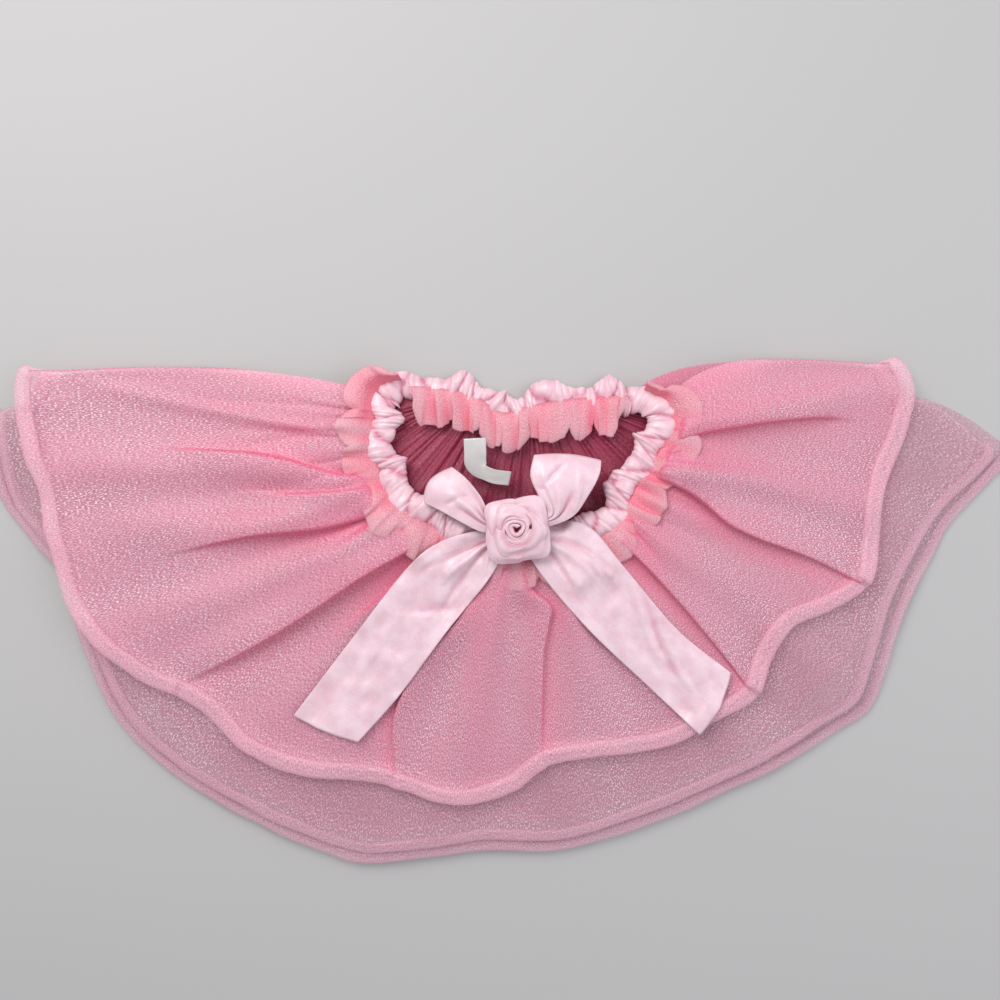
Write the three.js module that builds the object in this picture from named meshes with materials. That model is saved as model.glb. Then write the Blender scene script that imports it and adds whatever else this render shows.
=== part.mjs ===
// A child's pull-on ballet tutu: two tiers of organza on an elastic waist with a satin casing and a
// ribbon bow, laid flat with its front up.
// Millimetres. +Z is up from the surface it lies on and +Y runs from the hem to the waist. Sizes are
// taken from the middle of the waist. A bearing is in degrees, anticlockwise from +X seen from above,
// and runs from 90 to 450, so that the front of the skirt is one unbroken stretch through 270.
import * as THREE from "three";

const clothWall = 1.0; // every piece of organza
const ribbonWall = 1.2; // every piece of satin
const seamGap = 0.3; // between pieces that are sewn to each other
const layerGap = 0.9; // between layers that lie on each other

const shortHem = { width: 9, height: 5, backHeight: 3.6 }; // rolled hem of the short top tier
const longHem = { width: 6, height: 3.2 }; // narrow hem of the long lower tier
const casing = { width: 17, height: 8 }; // ruched satin tube round the elastic

// How the layers stack: the long tier's back lies low at the waist and rises to clear the short hem.
const stack = {
  lowAtWaist: 1.5,
  overHem: 4.4,
  risesOver: 150,
  settlesOver: 26,
  waistLift: 6,
  liftOver: 110,
  waistPuff: 0.8,
  hemBump: 20,
};

// The line of the waist casing's middle, one row for each bend: from the left end of the back, round
// the front that is pulled down towards the hem, and home along the back.
const waistLine = [
  { x: -74.4, y: 33.4, z: 8 },
  { x: -76.4, y: 21.4, z: 10.5 },
  { x: -76.4, y: 7.2, z: 11.5 },
  { x: -73, y: -6.9, z: 12 },
  { x: -65.1, y: -19.4, z: 13 },
  { x: -51, y: -31.3, z: 14 },
  { x: -35.7, y: -37.5, z: 14.5 },
  { x: -20.4, y: -43.7, z: 15 },
  { x: -1.7, y: -48.2, z: 15 },
  { x: 15.3, y: -48.2, z: 15 },
  { x: 35.1, y: -44.3, z: 15 },
  { x: 48.7, y: -35.2, z: 14.5 },
  { x: 60, y: -18.2, z: 13.5 },
  { x: 67.5, y: -3, z: 12.5 },
  { x: 78, y: 11.9, z: 12 },
  { x: 78.4, y: 26.4, z: 10.5 },
  { x: 67.4, y: 35.3, z: 7 },
  { x: 50.1, y: 35.8, z: 5.2 },
  { x: 27.1, y: 34.1, z: 4.6 },
  { x: 7, y: 30.7, z: 4.6 },
  { x: -8.5, y: 26.7, z: 4.6 },
  { x: -24.6, y: 36.4, z: 4.6 },
  { x: -44.7, y: 40.4, z: 4.8 },
  { x: -61.9, y: 41, z: 6 },
];
const waistFrontRows = { first: 0, last: 15 };
const waistBackRows = { first: 23, last: 16.3 }; // where the back panels and the inner frill start and end

// Outer edges of the hems as they lie. The first and last rows are on the side folds, past the corners.
const shortFrontEdge = [
  { bearing: 168.5, reach: 277 },
  { bearing: 168.9, reach: 284.5 },
  { bearing: 170.6, reach: 288.5 },
  { bearing: 175, reach: 286 },
  { bearing: 180, reach: 280 },
  { bearing: 184, reach: 273 },
  { bearing: 190, reach: 270.5 },
  { bearing: 198, reach: 269 },
  { bearing: 204, reach: 262 },
  { bearing: 210, reach: 250 },
  { bearing: 215, reach: 237 },
  { bearing: 219, reach: 230.5 },
  { bearing: 226, reach: 229 },
  { bearing: 234, reach: 220.5 },
  { bearing: 244, reach: 204.5 },
  { bearing: 251, reach: 200 },
  { bearing: 257, reach: 201.5 },
  { bearing: 265, reach: 196 },
  { bearing: 270, reach: 188.5 },
  { bearing: 275, reach: 177 },
  { bearing: 284, reach: 175.5 },
  { bearing: 297, reach: 184.5 },
  { bearing: 306, reach: 187 },
  { bearing: 315, reach: 192 },
  { bearing: 321, reach: 184.5 },
  { bearing: 328, reach: 183 },
  { bearing: 334, reach: 198.5 },
  { bearing: 340, reach: 211.5 },
  { bearing: 347, reach: 210 },
  { bearing: 355, reach: 209 },
  { bearing: 363, reach: 220.5 },
  { bearing: 369, reach: 228.5 },
  { bearing: 373.5, reach: 227.5 },
  { bearing: 375.6, reach: 222 },
  { bearing: 376.2, reach: 215 },
];
const shortBackEdge = [
  { bearing: 168.6, reach: 273 },
  { bearing: 169.1, reach: 280 },
  { bearing: 171, reach: 284 },
  { bearing: 176, reach: 281 },
  { bearing: 184, reach: 269 },
  { bearing: 198, reach: 258 },
  { bearing: 211, reach: 255 },
  { bearing: 222, reach: 249 },
  { bearing: 237, reach: 242 },
  { bearing: 250, reach: 232 },
  { bearing: 263, reach: 212 },
  { bearing: 274, reach: 210 },
  { bearing: 289, reach: 206 },
  { bearing: 302, reach: 208 },
  { bearing: 316, reach: 215 },
  { bearing: 331, reach: 223 },
  { bearing: 344, reach: 221 },
  { bearing: 356, reach: 218 },
  { bearing: 368, reach: 223 },
  { bearing: 373, reach: 223 },
  { bearing: 375.2, reach: 218.5 },
  { bearing: 375.9, reach: 211 },
];
const longBackEdge = [
  { bearing: 173.9, reach: 303 },
  { bearing: 174.8, reach: 308.5 },
  { bearing: 177.5, reach: 307.5 },
  { bearing: 181, reach: 304 },
  { bearing: 185, reach: 298.5 },
  { bearing: 190, reach: 283 },
  { bearing: 194, reach: 272 },
  { bearing: 204, reach: 273 },
  { bearing: 213, reach: 276 },
  { bearing: 222, reach: 270 },
  { bearing: 235, reach: 258 },
  { bearing: 248, reach: 250 },
  { bearing: 256, reach: 237.5 },
  { bearing: 265, reach: 226.5 },
  { bearing: 276, reach: 227 },
  { bearing: 288, reach: 224 },
  { bearing: 300, reach: 226 },
  { bearing: 310, reach: 233 },
  { bearing: 319, reach: 242 },
  { bearing: 324.5, reach: 250 },
  { bearing: 330, reach: 245.5 },
  { bearing: 339, reach: 240.5 },
  { bearing: 346, reach: 245 },
  { bearing: 352, reach: 255 },
  { bearing: 357.5, reach: 275 },
  { bearing: 360.4, reach: 286.5 },
  { bearing: 362, reach: 285 },
  { bearing: 362.8, reach: 279 },
];
// How far the long tier's front hem lies inside its back hem.
const longFrontInset = [
  { bearing: 173, inset: 9 },
  { bearing: 185, inset: 7.5 },
  { bearing: 230, inset: 7 },
  { bearing: 300, inset: 8 },
  { bearing: 322, inset: 10 },
  { bearing: 340, inset: 12 },
  { bearing: 363, inset: 12 },
];

// The largest folds of the short tier's front, one row each: ridges that fan out from the waist.
const frontFolds = [
  { atWaist: 176, atHem: 170.5, spread: 4.5, height: 4 },
  { atWaist: 186, atHem: 179.5, spread: 5, height: 4.5 },
  { atWaist: 198, atHem: 192, spread: 6.5, height: 6 },
  { atWaist: 216, atHem: 209, spread: 7, height: 8 },
  { atWaist: 238, atHem: 232, spread: 6, height: 3.5 },
  { atWaist: 266, atHem: 259, spread: 12, height: 7 },
  { atWaist: 296, atHem: 290, spread: 9, height: 5 },
  { atWaist: 322, atHem: 311, spread: 8, height: 6 },
  { atWaist: 340, atHem: 329, spread: 6, height: 4 },
  { atWaist: 353, atHem: 349, spread: 6.5, height: 8 },
  { atWaist: 368, atHem: 368, spread: 6, height: 5 },
];
// Gentler folds of the long tier's front, which show past the short hem.
const longFolds = [
  { atWaist: 210, atHem: 205, spread: 8, height: 1.6 },
  { atWaist: 240, atHem: 236, spread: 7, height: 1.8 },
  { atWaist: 285, atHem: 283, spread: 9, height: 1.6 },
  { atWaist: 315, atHem: 306, spread: 8, height: 2 },
  { atWaist: 345, atHem: 338, spread: 7, height: 2.2 },
];

// How far the side folds bulge towards the waist end, and where along them they bulge most.
// The stretch of each hem, as shares of its length, that the panel's width is spread over.
const spans = {
  short: { first: 0.018, last: 0.978 },
  long: { first: 0.016, last: 0.982 },
};

const shortSides = { left: 9, leftSkew: 1, right: 10, rightSkew: 0.8 };
const longSides = { left: 14, leftSkew: 1.35, right: 22, rightSkew: 2.4 };

const frills = {
  outer: { width: 15, waves: 19, waveDepth: 2.6, waveHeight: 3 },
  inner: { width: 16, waves: 9, waveDepth: 3.4, waveHeight: 2.6, height: 9.5 },
};

const knot = { x: -0.6, y: -40.5, z: 20.6 }; // where the bow is tied, on the front of the casing
const loops = [
  { name: "bow_loop_left", heading: 149, length: 39, rise: 13, nearWidth: 15, farWidth: 31, start: 8 },
  { name: "bow_loop_right", heading: 45, length: 43, rise: 14, nearWidth: 15, farWidth: 36, start: 8 },
];
// Middle line of each tail, with the ribbon's width square to it, from the knot to the cut end.
const tails = {
  bow_tail_left: [
    { x: -6, y: -50, width: 30 },
    { x: -18, y: -60, width: 39 },
    { x: -37, y: -78, width: 42 },
    { x: -56, y: -101, width: 42 },
    { x: -77, y: -127, width: 41 },
    { x: -97, y: -150.5, width: 40 },
  ],
  bow_tail_right: [
    { x: 12, y: -53, width: 30 },
    { x: 30, y: -69, width: 38 },
    { x: 55, y: -92, width: 40 },
    { x: 76, y: -109, width: 40 },
    { x: 101, y: -130, width: 39 },
    { x: 116, y: -143, width: 38 },
  ],
};
const ribbonLift = { skirt: 0.9, hem: 0.6, frill: 5.4, slope: 0.5 };
const rosette = { base: 27.8, coreRadius: 5.2, coreHeight: 9.5 };
const petalRings = [
  { name: "inner", count: 3, radius: 7, spiral: 2.4, height: 9.5, flare: 1.8, turn: 20 },
  { name: "outer", count: 4, radius: 12.2, spiral: 3.4, height: 7.5, flare: 2.8, turn: 62 },
];
const petalWall = 1.0;
const careLabel = { x: -19.5, y: 5.5, z: 14.2, heading: 250, length: 23, width: 15, fold: 0.62, wall: 1.0 };

const satinPink = { color: 0xf3d0dc, roughness: 0.35 };
const topPink = { color: 0xe29ab4, roughness: 0.6 };
const lowerPink = { color: 0xc79cae, roughness: 0.6 };
const hemPink = { color: 0xdba9bd, roughness: 0.6 };
const frillPink = { color: 0xe493ab, roughness: 0.6 };
const labelWhite = { color: 0xe9e4e6, roughness: 0.45 };

const tutu = new THREE.Group();

// ---- small sums ----------------------------------------------------------------------------------

const radians = (degrees) => (degrees * Math.PI) / 180;
const mix = (a, b, t) => a + (b - a) * t;
const clamp = (t) => Math.min(1, Math.max(0, t));
const soft = (t) => clamp(t) ** 2 * (3 - 2 * clamp(t));
const at = (bearing, reach, z = 0) =>
  new THREE.Vector3(reach * Math.cos(radians(bearing)), reach * Math.sin(radians(bearing)), z);

function bearingOf(x, y) {
  const degrees = (Math.atan2(y, x) * 180) / Math.PI;
  return degrees < 90 ? degrees + 360 : degrees;
}

// A smooth value through a table's rows, held level past its two ends.
function through(rows, from, to) {
  const slope = (i) => {
    const before = rows[Math.max(i - 1, 0)];
    const after = rows[Math.min(i + 1, rows.length - 1)];
    return (after[to] - before[to]) / (after[from] - before[from]);
  };
  return (place) => {
    if (place <= rows[0][from]) return rows[0][to];
    if (place >= rows.at(-1)[from]) return rows.at(-1)[to];
    const i = rows.findIndex((row) => row[from] > place) - 1;
    const span = rows[i + 1][from] - rows[i][from];
    const t = (place - rows[i][from]) / span;
    const rise = (1 - t) ** 2 * (1 + 2 * t) * rows[i][to] + t * t * (3 - 2 * t) * rows[i + 1][to];
    return rise + span * t * (1 - t) * ((1 - t) * slope(i) - t * slope(i + 1));
  };
}

// ---- the lines that the pieces are built on ---------------------------------------------------------

const waistCurve = new THREE.CatmullRomCurve3(
  waistLine.map(({ x, y, z }) => new THREE.Vector3(x, y, z)),
  true,
);
const waistRowAt = (row) => {
  const lengths = waistCurve.getLengths(480);
  return lengths[Math.round((480 / waistLine.length) * row)] / lengths.at(-1);
};
const frontStart = waistRowAt(waistFrontRows.first);
const frontEnd = waistRowAt(waistFrontRows.last);
const backLeft = waistRowAt(waistBackRows.first);
const backRight = waistRowAt(waistBackRows.last);

// A point beside the waist line, offset outwards in plan.
function besideWaist(t, offset) {
  const wrapped = ((t % 1) + 1) % 1;
  const point = waistCurve.getPointAt(wrapped);
  const along = waistCurve.getTangentAt(wrapped).setZ(0).normalize();
  return point.add(new THREE.Vector3(along.y, -along.x, 0).multiplyScalar(offset));
}

const edgeCurve = (rows) =>
  new THREE.CatmullRomCurve3(rows.map(({ bearing, reach }) => at(bearing, reach)));

// A point on a hem's line, moved in from the outer edge in plan.
function insideEdge(curve, t, offset) {
  const along = curve.getTangentAt(t).setZ(0).normalize();
  return curve.getPointAt(t).add(new THREE.Vector3(-along.y, along.x, 0).multiplyScalar(offset));
}

const insetAt = through(longFrontInset, "bearing", "inset");
const longFrontEdge = longBackEdge.map(({ bearing, reach }) => ({
  bearing,
  reach: reach - insetAt(bearing),
}));
const edges = {
  shortFront: edgeCurve(shortFrontEdge),
  shortBack: edgeCurve(shortBackEdge),
  longFront: edgeCurve(longFrontEdge),
  longBack: edgeCurve(longBackEdge),
};
const shortBackReach = through(shortBackEdge, "bearing", "reach");
const shortFrontReach = through(shortFrontEdge, "bearing", "reach");
const longBackReach = through(longBackEdge, "bearing", "reach");
const longFrontReach = through(longFrontEdge, "bearing", "reach");
const waistReach = through(
  Array.from({ length: 61 }, (_, i) => besideWaist(mix(frontStart, frontEnd, i / 60), 0)).map((p) => ({
    bearing: bearingOf(p.x, p.y),
    reach: Math.hypot(p.x, p.y),
  })),
  "bearing",
  "reach",
);

// ---- how high the underside of each layer lies ------------------------------------------------------

// Height of the ridges of a table of folds. share is 0 at the waist and 1 at the hem.
function foldHeight(folds, bearing, share) {
  const swell = mix(0.25, 1, soft(share / 0.4)) * mix(1, 0.3, soft((share - 0.55) / 0.45));
  return folds.reduce((height, fold) => {
    const off = (bearing - mix(fold.atWaist, fold.atHem, clamp(share))) / fold.spread;
    return height + fold.height * swell * Math.exp(-off * off);
  }, 0);
}

function undersideOfLongBack(x, y) {
  const reach = Math.hypot(x, y);
  const hemReach = shortBackReach(bearingOf(x, y));
  const rise = mix(stack.lowAtWaist, stack.overHem, soft((reach - hemReach) / stack.risesOver + 1.1));
  return rise * (1 - soft((reach - hemReach - 4) / stack.settlesOver));
}

function undersideOfLongFront(x, y) {
  const bearing = bearingOf(x, y);
  const reach = Math.hypot(x, y);
  const fromWaist = reach - waistReach(bearing);
  const share = clamp(fromWaist / (longBackReach(bearing) - waistReach(bearing)));
  const lift = stack.waistLift * (1 - soft(fromWaist / stack.liftOver));
  const folds = foldHeight(longFolds, bearing, share) * soft((1 - share) / 0.12);
  return undersideOfLongBack(x, y) + clothWall + layerGap + lift + folds;
}

function undersideOfShortFront(x, y) {
  const bearing = bearingOf(x, y);
  const reach = Math.hypot(x, y);
  const start = waistReach(bearing);
  const share = (reach - start) / (shortFrontReach(bearing) - start);
  const fromLongHem = reach - longFrontReach(bearing) + longHem.width / 2;
  const overHem = (longHem.height + layerGap) * Math.exp(-((fromLongHem / stack.hemBump) ** 2));
  const puff = stack.waistPuff * (1 - soft((reach - start) / stack.liftOver));
  const folds = foldHeight(frontFolds, bearing, share);
  return undersideOfLongFront(x, y) + clothWall + layerGap + overHem + puff + folds;
}

const topOfShortFront = (x, y) => undersideOfShortFront(x, y) + clothWall;

// ---- closed meshes ---------------------------------------------------------------------------------

function meshOf(name, points, triangles, look) {
  const geometry = new THREE.BufferGeometry();
  geometry.setAttribute("position", new THREE.Float32BufferAttribute(points.flatMap((p) => p.toArray()), 3));
  geometry.setIndex(triangles);
  geometry.computeVertexNormals();
  const mesh = new THREE.Mesh(geometry, new THREE.MeshStandardMaterial({ metalness: 0, ...look }));
  mesh.name = name;
  tutu.add(mesh);
}

// The same grid of points, raised.
const raisedBy = (height, points) => (i, j) => points(i, j).add(new THREE.Vector3(0, 0, height));

// A wall between two grids of points. lower and upper give the points of row i, column j. Rows close on
// themselves when looped is true. The upper side is seen anticlockwise as rows and columns grow.
function wall(name, rows, columns, lower, upper, look, looped = false) {
  const rowCount = looped ? rows : rows + 1;
  const width = columns + 1;
  const points = [];
  for (const side of [lower, upper]) {
    for (let i = 0; i < rowCount; i++) {
      for (let j = 0; j <= columns; j++) points.push(side(i, j));
    }
  }
  const lowerAt = (i, j) => (i % rowCount) * width + j;
  const upperAt = (i, j) => rowCount * width + lowerAt(i, j);
  const triangles = [];
  const quad = (a, b, c, d) => triangles.push(a, b, c, a, c, d);
  for (let i = 0; i < rows; i++) {
    for (let j = 0; j < columns; j++) {
      quad(upperAt(i, j), upperAt(i + 1, j), upperAt(i + 1, j + 1), upperAt(i, j + 1));
      quad(lowerAt(i, j), lowerAt(i, j + 1), lowerAt(i + 1, j + 1), lowerAt(i + 1, j));
    }
    quad(lowerAt(i, 0), lowerAt(i + 1, 0), upperAt(i + 1, 0), upperAt(i, 0));
    quad(lowerAt(i + 1, columns), lowerAt(i, columns), upperAt(i, columns), upperAt(i + 1, columns));
  }
  if (!looped) {
    for (let j = 0; j < columns; j++) {
      quad(lowerAt(0, j + 1), lowerAt(0, j), upperAt(0, j), upperAt(0, j + 1));
      quad(lowerAt(rows, j), lowerAt(rows, j + 1), upperAt(rows, j + 1), upperAt(rows, j));
    }
  }
  meshOf(name, points, triangles, look);
}

// A tube of the given section along a line of points: sides flat top and bottom, ends capped unless
// it is looped. frame(i) gives { centre, across, up } at step i.
function tube(name, steps, sides, width, height, frame, look, looped = false) {
  const ringCount = looped ? steps : steps + 1;
  const points = [];
  for (let i = 0; i < ringCount; i++) {
    const { centre, across, up, size = 1 } = frame(i);
    for (let k = 0; k < sides; k++) {
      const angle = (2 * Math.PI * k) / sides + (sides % 4 === 0 ? Math.PI / sides : 0);
      const flatness = sides % 4 === 0 ? Math.cos(Math.PI / sides) : Math.sin(Math.PI / 3);
      const sideways = ((width / 2) * size * Math.cos(angle)) / (sides % 4 === 0 ? flatness : 1);
      const upwards = ((height / 2) * size * Math.sin(angle)) / flatness;
      points.push(centre.clone().addScaledVector(across, sideways).addScaledVector(up, upwards));
    }
  }
  const triangles = [];
  const index = (i, k) => (i % ringCount) * sides + (k % sides);
  for (let i = 0; i < steps; i++) {
    for (let k = 0; k < sides; k++) {
      triangles.push(index(i, k), index(i + 1, k + 1), index(i, k + 1));
      triangles.push(index(i, k), index(i + 1, k), index(i + 1, k + 1));
    }
  }
  if (!looped) {
    for (let k = 1; k < sides - 1; k++) {
      triangles.push(index(0, 0), index(0, k), index(0, k + 1));
      triangles.push(index(steps, 0), index(steps, k + 1), index(steps, k));
    }
  }
  meshOf(name, points, triangles, look);
}

// ---- the four skirt panels ---------------------------------------------------------------------------

// The share of the way from start to end at which a line passes over the short tier's back hem.
function shareAtShortHem(start, end) {
  const steps = 60;
  for (let k = 1; k <= steps; k++) {
    const { x, y } = start.clone().lerp(end, k / steps);
    if (y < start.y && Math.hypot(x, y) > shortBackReach(bearingOf(x, y)) + 3) return (k - 1) / steps;
  }
  return 0.94;
}

// A panel runs from the waist to just inside its hem. startAt(share) gives its waist edge, and the side
// folds bulge by sides. shares are the rows from waist to hem, or to the short hem beneath with past
// for the rows beyond it. underside gives heights, and turnDown brings the two side folds down to it.
function panel(name, shape) {
  const { startAt, edge, hemWidth, span, sides, columns, shares, past = [], underside, turnDown } = shape;
  const bulge = (share, size, skew, down) =>
    (1 - clamp(share / 0.2)) ** 2 * size * Math.sin(Math.PI * down ** skew);
  const under = (j, i) => {
    const share = i / columns;
    const start = startAt(share);
    const end = insideEdge(edge, mix(span.first, span.last, share), hemWidth + seamGap);
    const knee = past.length ? shareAtShortHem(start, end) : 1;
    const down = j < shares.length ? shares[j] * knee : mix(knee, 1, past[j - shares.length]);
    const point = start.clone().lerp(end, down);
    point.y += bulge(share, sides.left, sides.leftSkew, down);
    point.y += bulge(1 - share, sides.right, sides.rightSkew, down);
    const height = underside(point.x, point.y);
    const onSide = turnDown !== undefined && (i === 0 || i === columns) && down < 0.9;
    return point.setZ(onSide ? mix(height, turnDown, soft((down - 0.42) / 0.15)) : height);
  };
  wall(name, shares.length + past.length - 1, columns, under, raisedBy(clothWall, under), shape.look);
}

const columns = { shortBack: 28, long: 36, shortFront: 46 }; // facets along each hem
const alongFront = (share) => besideWaist(mix(frontStart, frontEnd, share), casing.width / 2 + 2 * seamGap);
const backDip = 4; // how far the back panels' edge sags below the casing between its two ends
const alongBack = (share) => {
  const point = besideWaist(mix(backLeft, backRight, share), -casing.width / 2 - seamGap);
  point.y -= backDip * (1 - (2 * share - 1) ** 6);
  return point;
};

panel("top_tier_back", {
  startAt: alongBack,
  edge: edges.shortBack,
  hemWidth: shortHem.width,
  span: spans.short,
  sides: shortSides,
  columns: columns.shortBack,
  shares: [0, 0.25, 0.5, 0.75, 1],
  underside: () => 0,
  look: topPink,
});
panel("lower_tier_back", {
  startAt: alongBack,
  edge: edges.longBack,
  hemWidth: longHem.width,
  span: spans.long,
  sides: longSides,
  columns: columns.long,
  shares: [0, 0.3, 0.55, 0.8, 1],
  underside: undersideOfLongBack,
  past: [0.35, 0.7, 1],
  look: lowerPink,
});
panel("lower_tier_front", {
  startAt: alongFront,
  edge: edges.longFront,
  hemWidth: longHem.width,
  span: spans.long,
  sides: longSides,
  columns: columns.long,
  shares: [0, 0.2, 0.45, 0.72, 1],
  underside: undersideOfLongFront,
  past: [0.35, 0.7, 1],
  look: lowerPink,
});
panel("top_tier_front", {
  startAt: alongFront,
  edge: edges.shortFront,
  hemWidth: shortHem.width,
  span: spans.short,
  sides: shortSides,
  columns: columns.shortFront,
  shares: [0, 0.12, 0.26, 0.42, 0.6, 0.8, 1],
  underside: undersideOfShortFront,
  turnDown: clothWall + seamGap,
  look: topPink,
});

// ---- the four hems -----------------------------------------------------------------------------------

// A rolled hem along the whole of an edge, with its facets in line with the panel's. rest(x, y) gives
// the height it lies at, and spare lifts it over the slope beneath.
function hem(name, { edge, span, columns, width, height, rest, spare = 0 }) {
  const between = Array.from({ length: columns + 1 }, (_, i) => mix(span.first, span.last, i / columns));
  const shares = [0, span.first / 2, ...between, (span.last + 1) / 2, 1];
  const steps = shares.length - 1;
  tube(
    name,
    steps,
    6,
    width,
    height,
    (i) => {
      const centre = insideEdge(edge, shares[i], width / 2);
      const along = edge.getTangentAt(shares[i]).setZ(0).normalize();
      const size = mix(0.5, 1, soft(Math.min(i, steps - i) / 3));
      centre.z = rest(centre.x, centre.y) + spare + (size * height) / 2;
      const across = new THREE.Vector3(along.y, -along.x, 0);
      return { centre, across, up: new THREE.Vector3(0, 0, 1), size };
    },
    hemPink,
  );
}

hem("top_hem_back", {
  edge: edges.shortBack,
  span: spans.short,
  columns: columns.shortBack,
  width: shortHem.width,
  height: shortHem.backHeight,
  rest: () => 0,
});
hem("lower_hem_back", {
  edge: edges.longBack,
  span: spans.long,
  columns: columns.long,
  ...longHem,
  rest: undersideOfLongBack,
});
hem("lower_hem_front", {
  edge: edges.longFront,
  span: spans.long,
  columns: columns.long,
  ...longHem,
  rest: undersideOfLongFront,
  spare: 0.9,
});
hem("top_hem_front", {
  edge: edges.shortFront,
  span: spans.short,
  columns: columns.shortFront,
  width: shortHem.width,
  height: shortHem.height,
  rest: undersideOfShortFront,
  spare: 1,
});

// ---- the waist -----------------------------------------------------------------------------------------

const casingSteps = 48;
tube(
  "waist_casing",
  casingSteps,
  8,
  casing.width,
  casing.height,
  (i) => {
    const t = i / casingSteps;
    const along = waistCurve.getTangentAt(t).setZ(0).normalize();
    return {
      centre: waistCurve.getPointAt(t),
      across: new THREE.Vector3(along.y, -along.x, 0),
      up: new THREE.Vector3(0, 0, 1),
    };
  },
  satinPink,
  true,
);

// The heading of the gathered tiers, which stands out past the casing as a frill and waves as it goes.
// The inner one hangs straight towards the hem.
function frill(name, { first, last, columns, side, size, underside }) {
  const start = casing.width / 2 + 2 * seamGap;
  const place = (i, j) => {
    const t = mix(first, last, i / columns);
    const wave = Math.sin(2 * Math.PI * size.waves * (i / columns));
    const reach = (size.width + size.waveDepth * wave) * (j / 2);
    const point = besideWaist(t, side > 0 ? start + reach : -start);
    point.y -= side > 0 ? 0 : reach;
    point.z = underside(point.x, point.y, wave, j / 2);
    return point;
  };
  if (side > 0) {
    const under = (j, i) => place(i, j);
    wall(name, 2, columns, under, raisedBy(clothWall, under), frillPink);
  } else {
    wall(name, columns, 2, place, raisedBy(clothWall, place), frillPink);
  }
}

frill("frill_outer", {
  first: frontStart,
  last: frontEnd,
  columns: 57,
  side: 1,
  size: frills.outer,
  underside: (x, y, wave, out) =>
    topOfShortFront(x, y) + layerGap + 0.6 + frills.outer.waveHeight * out * (0.5 + 0.5 * wave),
});
frill("frill_inner", {
  first: backRight,
  last: backLeft,
  columns: 27,
  side: -1,
  size: frills.inner,
  underside: (x, y, wave, out) =>
    mix(5, frills.inner.height, soft(out * 2)) + frills.inner.waveHeight * out * (0.5 + 0.5 * wave),
});

// ---- the care label: a blank strip folded over on itself ------------------------------------------------

{
  const { x, y, z, heading, length, width, fold, wall: thickness } = careLabel;
  const along = at(heading, 1);
  const across = at(heading + 90, 1);
  const steps = 6;
  const place = (lift) => (i, j) => {
    const down = (i / steps) * length;
    const turned = Math.max(0, i / steps - fold) / (1 - fold);
    const point = new THREE.Vector3(x, y, z + lift);
    point.addScaledVector(along, down - turned * length * (1 - fold) * 0.5);
    point.addScaledVector(across, (j / 2 - 0.5) * width + turned * 4);
    point.z -= 2.4 * Math.sin((Math.PI * i) / steps / 2) + turned * 1.6;
    return point;
  };
  wall("care_label", steps, 2, place(0), place(thickness), labelWhite);
}

// ---- the bow ----------------------------------------------------------------------------------------------

// A loop of ribbon, standing on its edge like a flattened drop: out along the bottom and back on top.
function bowLoop({ name, heading, length, rise, nearWidth, farWidth, start }) {
  const along = at(heading, 1);
  const across = at(heading + 90, 1);
  const steps = 14;
  const columns = 2;
  const place = (inset) => (i, j) => {
    const turn = (2 * Math.PI * i) / steps;
    const out = 0.5 - 0.5 * Math.cos(turn);
    const halfLength = length / 2 - inset;
    const thickness = mix(2.6, rise / 2, soft((out - 0.1) * 1.3)) - inset;
    const forward = start + length / 2 - halfLength * Math.cos(turn);
    const widthHere = mix(nearWidth, farWidth, soft(out * 1.1));
    const point = new THREE.Vector3(knot.x, knot.y, knot.z + 0.4 + rise / 2 - Math.sin(turn) * thickness);
    point.z -= (1 - soft((out - 0.1) * 1.5)) * (rise / 2 - 2.6);
    point.addScaledVector(along, forward);
    return point.addScaledVector(across, (j / columns - 0.5) * widthHere);
  };
  wall(name, steps, columns, place(0), place(ribbonWall), satinPink, true);
}
loops.forEach(bowLoop);

// How high the ribbon's underside lies where it passes over the casing, the frill and the skirt.
function undersideOfRibbon(x, y) {
  const bearing = bearingOf(x, y);
  const reach = Math.hypot(x, y);
  const fromWaist = reach - waistReach(bearing);
  const overHem = (shortHem.height + ribbonLift.hem) * soft((reach - shortFrontReach(bearing) + 20) / 9);
  const overFrill = ribbonLift.frill * (1 - soft((fromWaist - 27) / 20));
  const overCasing = knot.z - 1 - ribbonLift.slope * Math.max(0, fromWaist - casing.width / 2 - 1);
  return Math.max(topOfShortFront(x, y) + ribbonLift.skirt + overHem + overFrill, overCasing);
}

function bowTail(name, rows) {
  const middle = new THREE.CatmullRomCurve3(rows.map(({ x, y }) => new THREE.Vector3(x, y, 0)));
  const widths = rows.map(({ width }, i) => ({ share: i / (rows.length - 1), width }));
  const widthAt = through(widths, "share", "width");
  const steps = 11;
  const columns = 4;
  const under = (i, j) => {
    const share = i / steps;
    const along = middle.getTangentAt(share);
    const across = new THREE.Vector3(-along.y, along.x, 0);
    const point = middle.getPointAt(share).addScaledVector(across, (j / columns - 0.5) * widthAt(share));
    return point.setZ(undersideOfRibbon(point.x, point.y));
  };
  wall(name, steps, columns, under, raisedBy(ribbonWall, under), satinPink);
}
Object.entries(tails).forEach(([name, rows]) => bowTail(name, rows));

// ---- the rosette: a rolled heart with folded petals round it ------------------------------------------------

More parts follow.
